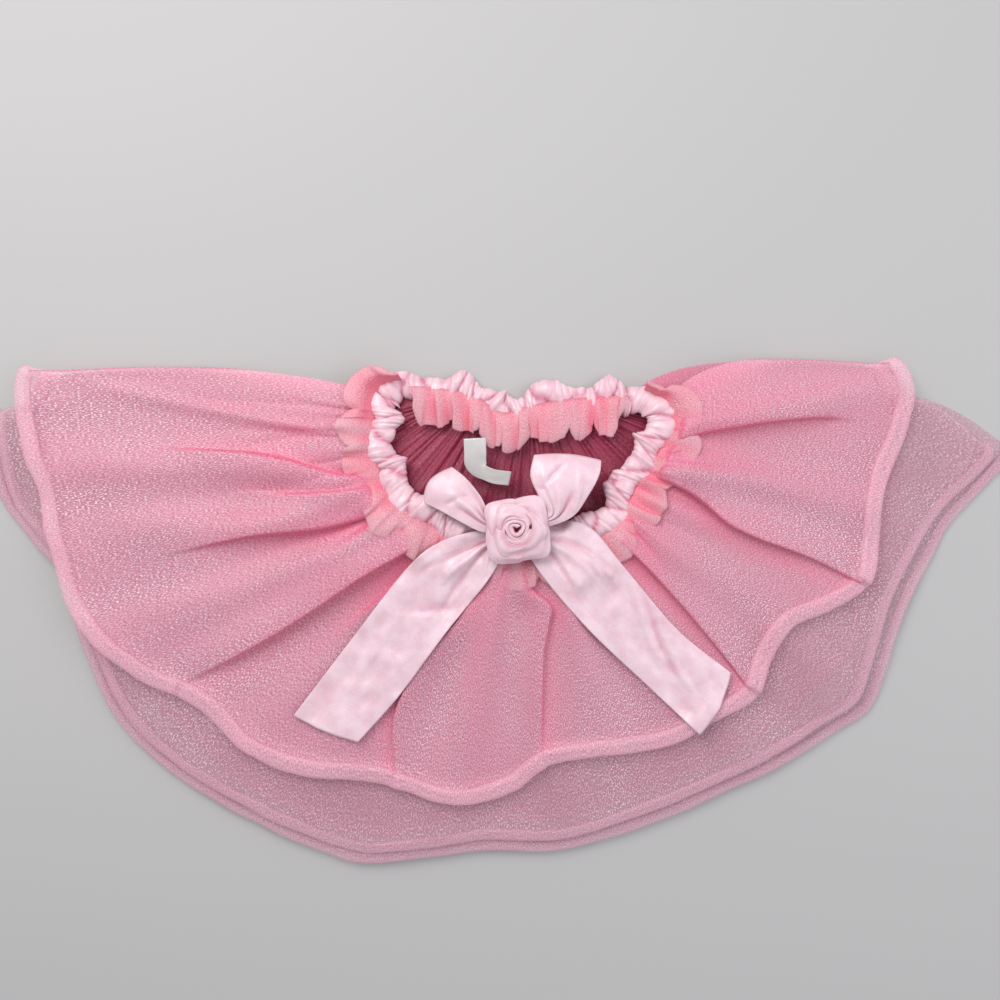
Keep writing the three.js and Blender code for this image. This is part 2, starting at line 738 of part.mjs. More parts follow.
const heartProfile = [
  [0, 0],
  [rosette.coreRadius * 0.8, 0],
  [rosette.coreRadius, rosette.coreHeight * 0.45],
  [rosette.coreRadius * 0.9, rosette.coreHeight * 0.9],
  [rosette.coreRadius * 0.5, rosette.coreHeight],
  [0, rosette.coreHeight * 0.82],
].map(([radius, height]) => new THREE.Vector2(radius, height));
{
  const segments = 14;
  const points = [new THREE.Vector3(0, 0, heartProfile[0].y)];
  for (const { x: radius, y: height } of heartProfile.slice(1, -1)) {
    for (let k = 0; k < segments; k++) points.push(at((360 * k) / segments, radius, height));
  }
  points.push(new THREE.Vector3(0, 0, heartProfile.at(-1).y));
  const shift = new THREE.Vector3(knot.x, knot.y, rosette.base);
  points.forEach((p) => p.add(shift));
  const triangles = [];
  const index = (ring, k) => 1 + ring * segments + (k % segments);
  for (let k = 0; k < segments; k++) {
    triangles.push(0, index(0, k + 1), index(0, k));
    for (let ring = 0; ring < heartProfile.length - 3; ring++) {
      triangles.push(index(ring, k), index(ring, k + 1), index(ring + 1, k + 1));
      triangles.push(index(ring, k), index(ring + 1, k + 1), index(ring + 1, k));
    }
    triangles.push(index(heartProfile.length - 3, k), index(heartProfile.length - 3, k + 1), points.length - 1);
  }
  meshOf("rosette_heart", points, triangles, satinPink);
}

function petal(name, { count, radius, spiral, height, flare, turn }, number) {
  const sweep = 360 / count + 26;
  const steps = 6;
  const place = (outwards) => (i, j) => {
    const share = i / steps;
    const up = j / 2;
    const bearing = turn + (360 * number) / count + sweep * share;
    const swell = flare * Math.sin(Math.PI * up * 0.8) + flare * 0.9 * up * Math.sin(Math.PI * share);
    const reach = radius + spiral * share + swell * 0.55 + outwards;
    const crest = height * up * (0.72 + 0.28 * Math.sin(Math.PI * share));
    return at(bearing, reach, rosette.base + crest).add(new THREE.Vector3(knot.x, knot.y, 0));
  };
  wall(name, steps, 2, place(0), place(petalWall), satinPink);
}
for (const ring of petalRings) {
  for (let number = 0; number < ring.count; number++) petal(`rosette_petal_${ring.name}_${number + 1}`, ring, number);
}

// The origin is the middle of the whole tutu's footprint, on the surface it lies on.
const bounds = new THREE.Box3().setFromObject(tutu);
const middle = bounds.getCenter(new THREE.Vector3());
tutu.position.set(-middle.x, -middle.y, -bounds.min.z);

export default tutu;
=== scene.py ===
import math

import bmesh
import bpy
import numpy as np
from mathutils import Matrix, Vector, noise
from mathutils.bvhtree import BVHTree


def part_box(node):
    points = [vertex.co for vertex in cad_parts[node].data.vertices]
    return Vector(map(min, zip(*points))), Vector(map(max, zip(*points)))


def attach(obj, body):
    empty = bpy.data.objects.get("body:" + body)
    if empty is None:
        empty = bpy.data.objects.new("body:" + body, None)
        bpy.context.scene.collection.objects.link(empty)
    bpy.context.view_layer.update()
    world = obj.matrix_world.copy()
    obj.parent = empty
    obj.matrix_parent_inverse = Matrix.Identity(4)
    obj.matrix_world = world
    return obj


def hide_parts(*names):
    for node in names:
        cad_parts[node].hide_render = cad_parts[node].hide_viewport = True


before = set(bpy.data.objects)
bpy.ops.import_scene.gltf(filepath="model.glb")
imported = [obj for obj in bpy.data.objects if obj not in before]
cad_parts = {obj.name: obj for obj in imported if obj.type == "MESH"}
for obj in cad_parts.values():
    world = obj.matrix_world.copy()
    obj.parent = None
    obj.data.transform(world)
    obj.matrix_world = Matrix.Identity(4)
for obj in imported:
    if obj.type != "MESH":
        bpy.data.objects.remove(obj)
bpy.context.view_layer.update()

# Sizes are in millimetres from the middle of the waist, as in the part's source. +Y runs from the hem
# to the waist, and a bearing is in degrees anticlockwise from +X, from 90 to 450.
mm = 0.001
knot = {"x": -0.6, "y": -40.5, "z": 20.6}  # where the bow is tied
heartLow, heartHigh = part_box("rosette_heart")
middleX = (heartLow.x + heartHigh.x) / 2 - knot["x"] * mm
middleY = (heartLow.y + heartHigh.y) / 2 - knot["y"] * mm


def toScene(x, y, z):
    return np.stack((middleX + x * mm, middleY + y * mm, z * mm), axis=-1)


def mix(a, b, t):
    return a + (b - a) * t


def soft(t):
    t = np.clip(t, 0, 1)
    return t * t * (3 - 2 * t)


def hill(off, width):
    return np.exp(-((off / width) ** 2))


def bearingOf(x, y):
    degrees = np.degrees(np.arctan2(y, x))
    return np.where(degrees < 90, degrees + 360, degrees)


def wander(a, b, seed):
    # Perlin noise over two arrays, from about -0.8 to 0.8.
    flat = [noise.noise((p, q, seed)) for p, q in zip(np.ravel(a), np.ravel(b))]
    return np.array(flat).reshape(np.shape(a))


def through(rows, key, value):
    # A smooth value through a table's rows, held level past its two ends.
    places = np.array([row[key] for row in rows], float)
    values = np.array([row[value] for row in rows], float)
    order = np.arange(len(rows))
    before = np.maximum(order - 1, 0)
    after = np.minimum(order + 1, len(rows) - 1)
    slopes = (values[after] - values[before]) / (places[after] - places[before])

    def valueAt(place):
        place = np.clip(place, places[0], places[-1])
        i = np.clip(np.searchsorted(places, place, side="right") - 1, 0, len(rows) - 2)
        span = places[i + 1] - places[i]
        t = (place - places[i]) / span
        rise = (1 - t) ** 2 * (1 + 2 * t) * values[i] + t * t * (3 - 2 * t) * values[i + 1]
        return rise + span * t * (1 - t) * ((1 - t) * slopes[i] - t * slopes[i + 1])

    return valueAt


class Line:
    # A smooth line through points, walked at an even pace from 0 to 1.

    steps = 40  # between two points

    def __init__(self, points, closed=False):
        points = np.array(points, float)
        if closed:
            ring = np.vstack((points[-1:], points, points[:2]))
        else:
            ring = np.vstack((2 * points[:1] - points[1:2], points, 2 * points[-1:] - points[-2:-1]))
        t = np.linspace(0, 1, self.steps, endpoint=False)[:, None]
        parts = []
        for a, b, c, d in zip(ring, ring[1:], ring[2:], ring[3:]):
            ab, bc, cd = (math.sqrt(np.linalg.norm(q - p)) for p, q in ((a, b), (b, c), (c, d)))
            leaving = ((b - a) / ab - (c - a) / (ab + bc) + (c - b) / bc) * bc
            arriving = ((c - b) / bc - (d - b) / (bc + cd) + (d - c) / cd) * bc
            part = (1 - t) ** 2 * (1 + 2 * t) * b + t * t * (3 - 2 * t) * c
            parts.append(part + t * (1 - t) ** 2 * leaving - t * t * (1 - t) * arriving)
        self.closed = closed
        self.points = np.vstack(parts + [points[:1] if closed else points[-1:]])
        pieces = np.linalg.norm(np.diff(self.points, axis=0), axis=1)
        self.walked = np.concatenate(([0], np.cumsum(pieces)))
        self.length = self.walked[-1]

    def at(self, share):
        share = np.mod(share, 1) if self.closed else np.clip(share, 0, 1)
        along = share * self.length
        return [np.interp(along, self.walked, column) for column in self.points.T]

    def heading(self, share):
        # The plan direction of travel, as two arrays.
        step = 0.002
        ahead, behind = self.at(share + step), self.at(share - step)
        dx, dy = ahead[0] - behind[0], ahead[1] - behind[1]
        size = np.hypot(dx, dy) + 1e-9
        return dx / size, dy / size

    def shareOfPoint(self, number):
        return self.walked[round(number * self.steps)] / self.length

    def beside(self, share, offset):
        # A point to the right of the direction of travel.
        point = self.at(share)
        dx, dy = self.heading(share)
        point[0] = point[0] + dy * offset
        point[1] = point[1] - dx * offset
        return point


print("stage: view and light")

view = {"x": -10.2, "y": -23.9, "height": 630, "lens": 39.1}
camera = bpy.data.objects.new("camera", bpy.data.cameras.new("camera"))
bpy.context.collection.objects.link(camera)
camera.data.lens = view["lens"]
camera.data.sensor_width = 36
camera.data.clip_start = 0.01
camera.location = toScene(view["x"], view["y"], view["height"])
bpy.context.scene.camera = camera

lights = [
    {"name": "key", "from": (-430, 600, 900), "size": 0.75, "power": 9.8, "color": (1.0, 0.98, 0.96)},
    {"name": "fill", "from": (820, 60, 760), "size": 1.1, "power": 4.6, "color": (0.93, 0.96, 1.0)},
]
target = Vector(toScene(0, -60, 0))
for light in lights:
    lamp = bpy.data.lights.new(light["name"], "AREA")
    lamp.size = light["size"]
    lamp.energy = light["power"]
    lamp.color = light["color"]
    holder = bpy.data.objects.new(light["name"], lamp)
    holder.location = toScene(*light["from"])
    holder.rotation_euler = (target - holder.location).to_track_quat("-Z", "Y").to_euler()
    bpy.context.collection.objects.link(holder)

world = bpy.data.worlds.new("studio")
world.use_nodes = True
world.node_tree.nodes["Background"].inputs["Color"].default_value = (0.93, 0.95, 1.0, 1)
world.node_tree.nodes["Background"].inputs["Strength"].default_value = 0.5
bpy.context.scene.world = world
bpy.context.scene.view_settings.view_transform = "Standard"
bpy.context.scene.cycles.transparent_max_bounces = 64
bpy.context.scene.cycles.max_bounces = 3


print("stage: materials")


def addNode(tree, kind, inputs=None, **settings):
    node = tree.nodes.new("ShaderNode" + kind)
    for name, value in settings.items():
        setattr(node, name, value)
    for name, value in (inputs or {}).items():
        if isinstance(value, bpy.types.NodeSocket):
            tree.links.new(value, node.inputs[name])
        else:
            node.inputs[name].default_value = value
    return node


def sums(tree, operation, a, b=0.0):
    return addNode(tree, "Math", {0: a, 1: b}, operation=operation).outputs[0]


def ramped(tree, value, low, high, start, end):
    inputs = {"Value": value, "From Min": low, "From Max": high, "To Min": start, "To Max": end}
    return addNode(tree, "MapRange", inputs).outputs["Result"]


def blended(tree, share, a, b):
    node = addNode(tree, "Mix", data_type="RGBA")
    for socket, value in ((node.inputs[0], share), (node.inputs[6], a), (node.inputs[7], b)):
        if isinstance(value, bpy.types.NodeSocket):
            tree.links.new(value, socket)
        else:
            socket.default_value = value
    return node.outputs[2]


def startGroup(name, inputs, outputs):
    group = bpy.data.node_groups.new(name, "ShaderNodeTree")
    for label, kind in inputs:
        group.interface.new_socket(label, in_out="INPUT", socket_type="NodeSocket" + kind)
    for label, kind in outputs:
        group.interface.new_socket(label, in_out="OUTPUT", socket_type="NodeSocket" + kind)
    return group, group.nodes.new("NodeGroupInput"), group.nodes.new("NodeGroupOutput")


def glitterSpecks(group, cells, spread, share):
    # Round specks of foil scattered over the cloth. Object coordinates are in metres.
    place = addNode(group, "TexCoord").outputs["Object"]
    cell = addNode(group, "TexVoronoi", {"Vector": place, "Scale": cells})
    near = ramped(group, cell.outputs["Distance"], spread, spread * 0.55, 0, 1)
    pick = addNode(group, "SeparateColor", {"Color": cell.outputs["Color"]}).outputs[0]
    chosen = sums(group, "GREATER_THAN", pick, 1 - share)
    return sums(group, "MULTIPLY", near, chosen)


def threadStreaks(group, across, down, detail=3.0):
    # Long thin threads that run down the cloth, from its own UV map in metres.
    cloth = addNode(group, "TexCoord").outputs["UV"]
    stretch = addNode(group, "Mapping", {"Vector": cloth, "Scale": (across, down, 1)}).outputs[0]
    return addNode(group, "TexNoise", {"Vector": stretch, "Scale": 1.0, "Detail": detail}).outputs[0]


organzaGroup, given, result = startGroup(
    "glitterOrganza",
    [("TintAndShade", "Float"), ("Pale", "Color"), ("Deep", "Color"), ("Cover", "Float"), ("Sparkle", "Float")],
    [("Color", "Color"), ("Alpha", "Float"), ("Height", "Float")],
)
streaks = threadStreaks(organzaGroup, 1750, 620, 0.0)
clouds = threadStreaks(organzaGroup, 30, 9, 1.0)  # where the cloth bunches and spreads
threads = ramped(organzaGroup, streaks, 0.3, 0.7, 0.5, 1.5)
bunched = ramped(organzaGroup, clouds, 0.3, 0.7, 0.82, 1.22)
bunched = sums(organzaGroup, "MULTIPLY", given.outputs["TintAndShade"], bunched)
layers = sums(organzaGroup, "MULTIPLY", bunched, threads)
openness = sums(organzaGroup, "SUBTRACT", 1.0, given.outputs["Cover"])
cover = sums(organzaGroup, "SUBTRACT", 1.0, sums(organzaGroup, "POWER", openness, layers))
# The deep tint rises with real layers of cloth and with the painted shade carried in the attribute.
strength = ramped(organzaGroup, bunched, 0.8, 4.0, 0, 1)
tint = blended(organzaGroup, strength, given.outputs["Pale"], given.outputs["Deep"])
foil = ramped(organzaGroup, streaks, 0.57, 0.68, 0, 1)
patches = ramped(organzaGroup, clouds, 0.68, 0.34, 0.62, 1.0)
foil = sums(organzaGroup, "MULTIPLY", foil, patches)
lostInLayers = ramped(organzaGroup, strength, 0.25, 1, 1, 0.22)
foil = sums(organzaGroup, "MULTIPLY", foil, lostInLayers)
shine = sums(organzaGroup, "MULTIPLY", foil, given.outputs["Sparkle"])
organzaGroup.links.new(blended(organzaGroup, shine, tint, (1, 0.9, 0.94, 1)), result.inputs["Color"])
organzaGroup.links.new(sums(organzaGroup, "MAXIMUM", cover, shine), result.inputs["Alpha"])
organzaGroup.links.new(streaks, result.inputs["Height"])

# Light and Shade are lit and shaded copies of the satin's colour; the group mixes in painted shade.
satinGroup, given, result = startGroup(
    "glitterSatin",
    [("CreaseShade", "Float"), ("Light", "Color"), ("Shade", "Color"), ("Sparkle", "Float")],
    [("Color", "Color"), ("Roughness", "Float"), ("Height", "Float")],
)
specks = glitterSpecks(satinGroup, 1300, 0.36, 0.2)
streaks = threadStreaks(satinGroup, 1400, 1100, 1.0)
clouds = addNode(
    satinGroup,
    "TexNoise",
    {"Vector": addNode(satinGroup, "TexCoord").outputs["Object"], "Scale": 120.0, "Detail": 4.0},
).outputs[0]
# Painted shade in the dents of the bump: where the clouds are low the colour goes towards Shade, and Crease
# adds painted shade in the folds.
patchyShade = ramped(satinGroup, clouds, 0.32, 0.66, 0.36, 0)
shaded = sums(satinGroup, "ADD", patchyShade, given.outputs["CreaseShade"])
tint = blended(satinGroup, shaded, given.outputs["Light"], given.outputs["Shade"])
shine = sums(satinGroup, "MULTIPLY", specks, given.outputs["Sparkle"])
satinGroup.links.new(blended(satinGroup, shine, tint, (1, 1, 1, 1)), result.inputs["Color"])
satinGroup.links.new(ramped(satinGroup, clouds, 0.3, 0.7, 0.36, 0.24), result.inputs["Roughness"])
crinkles = sums(satinGroup, "MULTIPLY", clouds, 2.4)
satinGroup.links.new(sums(satinGroup, "ADD", streaks, crinkles), result.inputs["Height"])


def startMaterial(name):
    material = bpy.data.materials.new(name)
    material.use_nodes = True
    tree = material.node_tree
    shader = tree.nodes["Principled BSDF"]
    return material, tree, shader


def addBump(tree, shader, height, distance, strength):
    bump = addNode(tree, "Bump", {"Height": height, "Distance": distance, "Strength": strength})
    tree.links.new(bump.outputs["Normal"], shader.inputs["Normal"])


def makeOrganza(name, pale, deep, cover, sparkle):
    material, tree, shader = startMaterial(name)
    # The attribute deepens the pink where cloth lies in more layers, and also carries painted shade in
    # troughs, valleys and hollows.
    tintAndShade = addNode(tree, "Attribute", attribute_name="tintAndShade").outputs["Fac"]
    group = addNode(tree, "Group", node_tree=organzaGroup)
    tree.links.new(tintAndShade, group.inputs["TintAndShade"])
    group.inputs["Pale"].default_value = (*pale, 1)
    group.inputs["Deep"].default_value = (*deep, 1)
    group.inputs["Cover"].default_value = cover
    group.inputs["Sparkle"].default_value = sparkle
    tree.links.new(group.outputs["Color"], shader.inputs["Base Color"])
    tree.links.new(group.outputs["Alpha"], shader.inputs["Alpha"])
    shader.inputs["Roughness"].default_value = 0.46
    shader.inputs["Specular IOR Level"].default_value = 0.55
    shader.inputs["Sheen Weight"].default_value = 0.08
    shader.inputs["Sheen Roughness"].default_value = 0.4
    addBump(tree, shader, group.outputs["Height"], 0.00025, 0.3)
    return material


def makeSatin(name, light, shade, sparkle, sheen=0.3):
    material, tree, shader = startMaterial(name)
    creaseShade = addNode(tree, "Attribute", attribute_name="tintAndShade").outputs["Fac"]
    group = addNode(tree, "Group", node_tree=satinGroup)
    tree.links.new(creaseShade, group.inputs["CreaseShade"])
    group.inputs["Light"].default_value = (*light, 1)
    group.inputs["Shade"].default_value = (*shade, 1)
    group.inputs["Sparkle"].default_value = sparkle
    tree.links.new(group.outputs["Color"], shader.inputs["Base Color"])
    tree.links.new(group.outputs["Roughness"], shader.inputs["Roughness"])
    shader.inputs["Specular IOR Level"].default_value = 0.6
    shader.inputs["Sheen Weight"].default_value = sheen
    shader.inputs["Sheen Roughness"].default_value = 0.35
    addBump(tree, shader, group.outputs["Height"], 0.0003, 0.35)
    return material


# Each organza's deep colour is for many layers of cloth, and is also painted shade where the attribute
# carries it.
topOrganza = makeOrganza("topOrganza", (0.99, 0.45, 0.60), (0.92, 0.20, 0.34), 0.27, 0.72)
# The lower tier's deep colour is darker still, as painted shade for the back cloth seen inside the waist.
lowerOrganza = makeOrganza("lowerOrganza", (0.80, 0.42, 0.53), (0.34, 0.02, 0.07), 0.22, 0.66)
thickHemOrganza = makeOrganza("thickHemOrganza", (0.99, 0.55, 0.67), (0.94, 0.38, 0.51), 0.34, 0.4)
thinHemOrganza = makeOrganza("thinHemOrganza", (0.84, 0.46, 0.57), (0.74, 0.32, 0.44), 0.3, 0.32)
frillOrganza = makeOrganza("frillOrganza", (1.0, 0.54, 0.62), (0.94, 0.22, 0.31), 0.34, 0.4)
# The second colour of each satin is its painted shade.
casingSatin = makeSatin("casingSatin", (0.88, 0.62, 0.69), (0.62, 0.17, 0.27), 0.3)
ribbonSatin = makeSatin("ribbonSatin", (0.86, 0.64, 0.71), (0.66, 0.28, 0.36), 0.4)
labelSatin = makeSatin("labelSatin", (0.66, 0.63, 0.62), (0.50, 0.45, 0.46), 0.0, 0.1)


print("stage: the lines and layers of the skirt")

waistPoints = [
    (-74.4, 33.4, 8), (-76.4, 21.4, 10.5), (-76.4, 7.2, 11.5), (-73, -6.9, 12), (-65.1, -19.4, 13),
    (-51, -31.3, 14), (-35.7, -37.5, 14.5), (-20.4, -43.7, 15), (-1.7, -48.2, 15), (15.3, -48.2, 15),
    (35.1, -44.3, 15), (48.7, -35.2, 14.5), (60, -18.2, 13.5), (67.5, -3, 12.5), (78, 11.9, 12),
    (78.4, 26.4, 10.5), (67.4, 35.3, 7), (50.1, 35.8, 5.2), (27.1, 34.1, 4.6), (7, 30.7, 4.6),
    (-8.5, 26.7, 4.6), (-24.6, 36.4, 4.6), (-44.7, 40.4, 4.8), (-61.9, 41, 6),
]
waist = Line(waistPoints, closed=True)
frontStart, frontEnd = 0.0, waist.shareOfPoint(15)
backLeft, backRight = waist.shareOfPoint(23), waist.shareOfPoint(16.3)
casing = {"width": 17, "height": 8}


def asRows(pairs, *names):
    return [dict(zip(names, pair)) for pair in pairs]


# Outer edges of the hems as they lie, as bearings and distances from the waist's middle.
shortFrontEdge = asRows([
    (168.5, 277), (168.9, 284.5), (170.6, 288.5), (175, 286), (180, 280), (184, 273), (190, 270.5),
    (198, 269), (204, 262), (210, 250), (215, 237), (219, 230.5), (226, 229), (234, 220.5), (244, 204.5),
    (251, 200), (257, 201.5), (265, 196), (270, 188.5), (275, 177), (284, 175.5), (297, 184.5),
    (306, 187), (315, 192), (321, 184.5), (328, 183), (334, 198.5), (340, 211.5), (347, 210), (355, 209),
    (363, 220.5), (369, 228.5), (373.5, 227.5), (375.6, 222), (376.2, 215),
], "bearing", "reach")
shortBackEdge = asRows([
    (168.6, 273), (169.1, 280), (171, 284), (176, 281), (184, 269), (198, 258), (211, 255), (222, 249),
    (237, 242), (250, 232), (263, 212), (274, 210), (289, 206), (302, 208), (316, 215), (331, 223),
    (344, 221), (356, 218), (368, 223), (373, 223), (375.2, 218.5), (375.9, 211),
], "bearing", "reach")
longBackEdge = asRows([
    (173.9, 303), (174.8, 308.5), (177.5, 307.5), (181, 304), (185, 298.5), (190, 283), (194, 272),
    (204, 273), (213, 276), (222, 270), (235, 258), (248, 250), (256, 237.5), (265, 226.5), (276, 227),
    (288, 224), (300, 226), (310, 233), (319, 242), (324.5, 250), (330, 245.5), (339, 240.5), (346, 245),
    (352, 255), (357.5, 275), (360.4, 286.5), (362, 285), (362.8, 279),
], "bearing", "reach")
insetAt = through(asRows([
    (173, 9), (185, 7.5), (230, 7), (300, 8), (322, 10), (340, 12), (363, 12),
], "bearing", "inset"), "bearing", "inset")
longFrontEdge = [
    {"bearing": row["bearing"], "reach": row["reach"] - float(insetAt(row["bearing"]))}
    for row in longBackEdge
]


def edgeLine(rows):
    turns = [math.radians(row["bearing"]) for row in rows]
    return Line([(row["reach"] * math.cos(a), row["reach"] * math.sin(a), 0) for row, a in zip(rows, turns)])


shortBackReach = through(shortBackEdge, "bearing", "reach")
shortFrontReach = through(shortFrontEdge, "bearing", "reach")
longBackReach = through(longBackEdge, "bearing", "reach")
longFrontReach = through(longFrontEdge, "bearing", "reach")
waistX, waistY, _ = waist.at(np.linspace(frontStart, frontEnd, 61))
waistReach = through(
    asRows(zip(bearingOf(waistX, waistY), np.hypot(waistX, waistY)), "bearing", "reach"), "bearing", "reach"
)

# Soft ridges that fan out from the waist. start and end are the shares of the skirt that each spans.
foldNames = ("atWaist", "atHem", "spread", "height", "start", "end")
frontFolds = asRows([
    (172.5, 169.4, 1.3, 2.0, 0.1, 1.2),
    (183, 182, 3.4, 2.2, 0.3, 1.2),
    (196, 188, 3.4, 3.2, 0.0, 1.2),
    (208, 203, 4.2, 3.6, 0.1, 1.2),
    (231, 227, 4.4, 3.0, 0.1, 1.1),
    (240, 238, 4.0, 2.6, 0.2, 1.2),
    (262, 259, 6.0, 3.6, 0.0, 1.2),
    (290, 287.5, 5.0, 5.0, 0.0, 1.2),
    (302, 300, 4.0, 3.4, 0.0, 1.2),
    (311, 307, 3.2, 2.6, 0.1, 1.1),
    (332, 329, 4.6, 3.2, 0.0, 1.2),
    (357, 351, 4.4, 3.6, 0.1, 1.2),
    (371.5, 371, 3.0, 3.6, 0.0, 1.2),
], *foldNames)
# Sharp folds, where the cloth is laid over itself. edge is the line of the lap as (share, bearing), side
# is 1 where the ridge lies anticlockwise of it, and lap is how much cloth lies doubled in the trough, which
# also paints shade there.
lapNames = ("edge", "side", "width", "height", "lapAndShade", "trough", "start", "end")
frontLaps = asRows([
    ([(0, 188), (0.12, 185), (0.25, 181), (0.4, 179), (1, 178)], 1, 13, 5.5, 1.5, 11, 0.0, 0.55),
    ([(0, 192), (0.2, 190), (0.4, 187)], 1, 8, 3.5, 2.0, 4, 0.0, 0.34),
    ([(0, 202), (0.2, 200), (0.45, 196), (1, 196)], -1, 11, 6.0, 2.3, 7, 0.0, 0.58),
    ([(0, 222), (0.25, 217), (0.5, 216), (1, 214)], -1, 15, 9.0, 2.6, 15, 0.0, 0.95),
    ([(0, 229), (0.25, 226), (0.5, 224)], 1, 6, 2.6, 0.9, 5, 0.0, 0.4),
    ([(0, 254), (0.25, 251), (0.5, 245), (0.75, 244.5), (1, 249)], 1, 12, 5.5, 1.8, 10, 0.1, 1.2),
    (
        [(0, 270), (0.15, 276), (0.25, 282), (0.35, 280), (0.5, 277), (1, 274.5)],
        -1, 10, 5.0, 1.6, 9, 0.0, 1.2,
    ),
    ([(0, 321), (0.25, 320), (0.55, 318), (1, 315)], 1, 14, 6.0, 2.2, 9, 0.0, 1.1),
    ([(0, 353), (0.2, 349), (0.4, 343), (0.75, 341.5), (1, 340)], 1, 16, 8.0, 2.2, 13, 0.0, 1.2),
    ([(0, 366), (0.2, 368), (0.6, 368), (0.85, 366)], 1, 11, 5.5, 1.6, 8, 0.0, 0.72),
], *lapNames)
longFolds = asRows([
    (184, 180, 4, 1.6, 0.3, 1.2),
    (198, 192, 4, 1.4, 0.3, 1.2),
    (210, 205, 6, 1.6, 0, 1.2),
    (240, 236, 6, 1.9, 0, 1.2),
    (262, 258, 4, 1.4, 0.2, 1.2),
    (285, 283, 7, 1.6, 0, 1.2),
    (315, 306, 6, 2.0, 0, 1.2),
    (330, 322, 4, 2.0, 0.1, 1.2),
    (345, 338, 6, 2.2, 0, 1.2),
    (357, 350, 4, 2.0, 0.2, 1.2),
], *foldNames)
backFolds = asRows([
    (200, 196, 5, 1.0, 0, 1.2),
    (228, 226, 6, 1.0, 0, 1.2),
    (255, 252, 5, 1.2, 0, 1.2),
    (290, 292, 7, 1.0, 0, 1.2),
    (325, 326, 6, 1.2, 0, 1.2),
    (348, 350, 5, 1.4, 0, 1.2),
], *foldNames)


billow = 1.25  # how much fuller the soft ridges stand than their tables say


def foldsAt(folds, bearing, share):
    # Height of a table of soft ridges.
    swell = mix(0.3, 1, soft(share / 0.35)) * mix(1, 0.42, soft((share - 0.6) / 0.4))
    height = np.zeros(np.shape(bearing))
    for fold in folds:
        off = (bearing - mix(fold["atWaist"], fold["atHem"], np.clip(share, 0, 1))) / fold["spread"]
        seen = soft((share - fold["start"]) / 0.12 + 1) * (1 - soft((share - fold["end"]) / 0.2 + 0.5))
        height = height + billow * fold["height"] * hill(off, 1) * seen * swell
    return height


# A sharp fold rises from lipFrom before its line to lipTo past it, and leans by a share of its height. The
# lean and the doubled cloth fade over the next few millimetres.
# The doubled cloth is also painted shade in the trough, and catchesLight paints a highlight along the ridge's
# edge.
lapShape = {"lipFrom": 1.2, "lipTo": 1.6, "lean": 0.45, "leanFades": 5, "troughFades": 2.2,
            "layers": 0.62, "catchesLight": 0.35}


def lapsAt(laps, bearing, share, reach):
    # Height, sideways lean and doubled cloth with its painted shade, of a table of sharp folds, in
    # millimetres.
    height, lean, doubledAndShaded = (np.zeros(np.shape(bearing)) for _ in range(3))
    swell = mix(0.55, 1, soft(share / 0.3)) * mix(1, 0.45, soft((share - 0.6) / 0.4))
    for fold in laps:
        edge = through(asRows(fold["edge"], "share", "bearing"), "share", "bearing")(share)
        off = np.radians(bearing - edge) * fold["side"] * reach  # above 0 on the ridge
        fade = soft((share - fold["start"]) / 0.1 + 1) * (1 - soft((share - fold["end"]) / 0.35 + 0.5))
        start, end = lapShape["lipFrom"], lapShape["lipTo"]
        lip = soft((off + start) / (start + end))
        ridge = np.where(off < end, lip, hill(off - end, fold["width"])) * fade
        height = height + fold["height"] * ridge * swell
        tip = np.exp(-np.maximum(off, 0) / lapShape["leanFades"])
        lean = lean - fold["side"] * lapShape["lean"] * fold["height"] * ridge * tip * swell
        # Painted shade: the doubled cloth deepens the colour in the trough beside the ridge, and less of it
        # at the ridge's edge paints a highlight there.
        onRidge = np.exp(-off / lapShape["troughFades"])
        trough = np.where(off < 0, hill(off, fold["trough"]), onRidge)
        creaseShade = 1 - lapShape["catchesLight"] * hill(off, end)
        doubledAndShaded = doubledAndShaded + lapShape["layers"] * fold["lapAndShade"] * trough * creaseShade * fade
    return height, lean, doubledAndShaded


stack = {"lowAtWaist": 1.5, "overHem": 4.4, "risesOver": 150, "settlesOver": 26, "waistLift": 6,
         "liftOver": 110, "waistPuff": 0.8, "hemBump": 20, "wall": 1.0, "gap": 0.9}


def onFloor(x, y):
    return 0 * x


def restOfLongBack(x, y):
    past = np.hypot(x, y) - shortBackReach(bearingOf(x, y))
    rise = mix(stack["lowAtWaist"], stack["overHem"], soft(past / stack["risesOver"] + 1.1))
    return rise * (1 - soft((past - 4) / stack["settlesOver"]))


def restOfLongFront(x, y):
    bearing = bearingOf(x, y)
    fromWaist = np.hypot(x, y) - waistReach(bearing)
    share = np.clip(fromWaist / (longBackReach(bearing) - waistReach(bearing)), 0, 1)
    lift = stack["waistLift"] * (1 - soft(fromWaist / stack["liftOver"]))
    folds = foldsAt(longFolds, bearing, share) * soft((1 - share) / 0.12)
    return restOfLongBack(x, y) + stack["wall"] + stack["gap"] + lift + folds


def restOfShortFront(x, y, folded=True):
    bearing = bearingOf(x, y)
    reach = np.hypot(x, y)
    start = waistReach(bearing)
    share = (reach - start) / (shortFrontReach(bearing) - start)
    fromLongHem = reach - longFrontReach(bearing) + 3
    overHem = 4.1 * hill(fromLongHem, stack["hemBump"])
    puff = stack["waistPuff"] * (1 - soft((reach - start) / stack["liftOver"]))
    folds = 0
    if folded:
        folds = foldsAt(frontFolds, bearing, share) + lapsAt(frontLaps, bearing, share, reach)[0]
    return restOfLongFront(x, y) + stack["wall"] + stack["gap"] + overHem + puff + folds


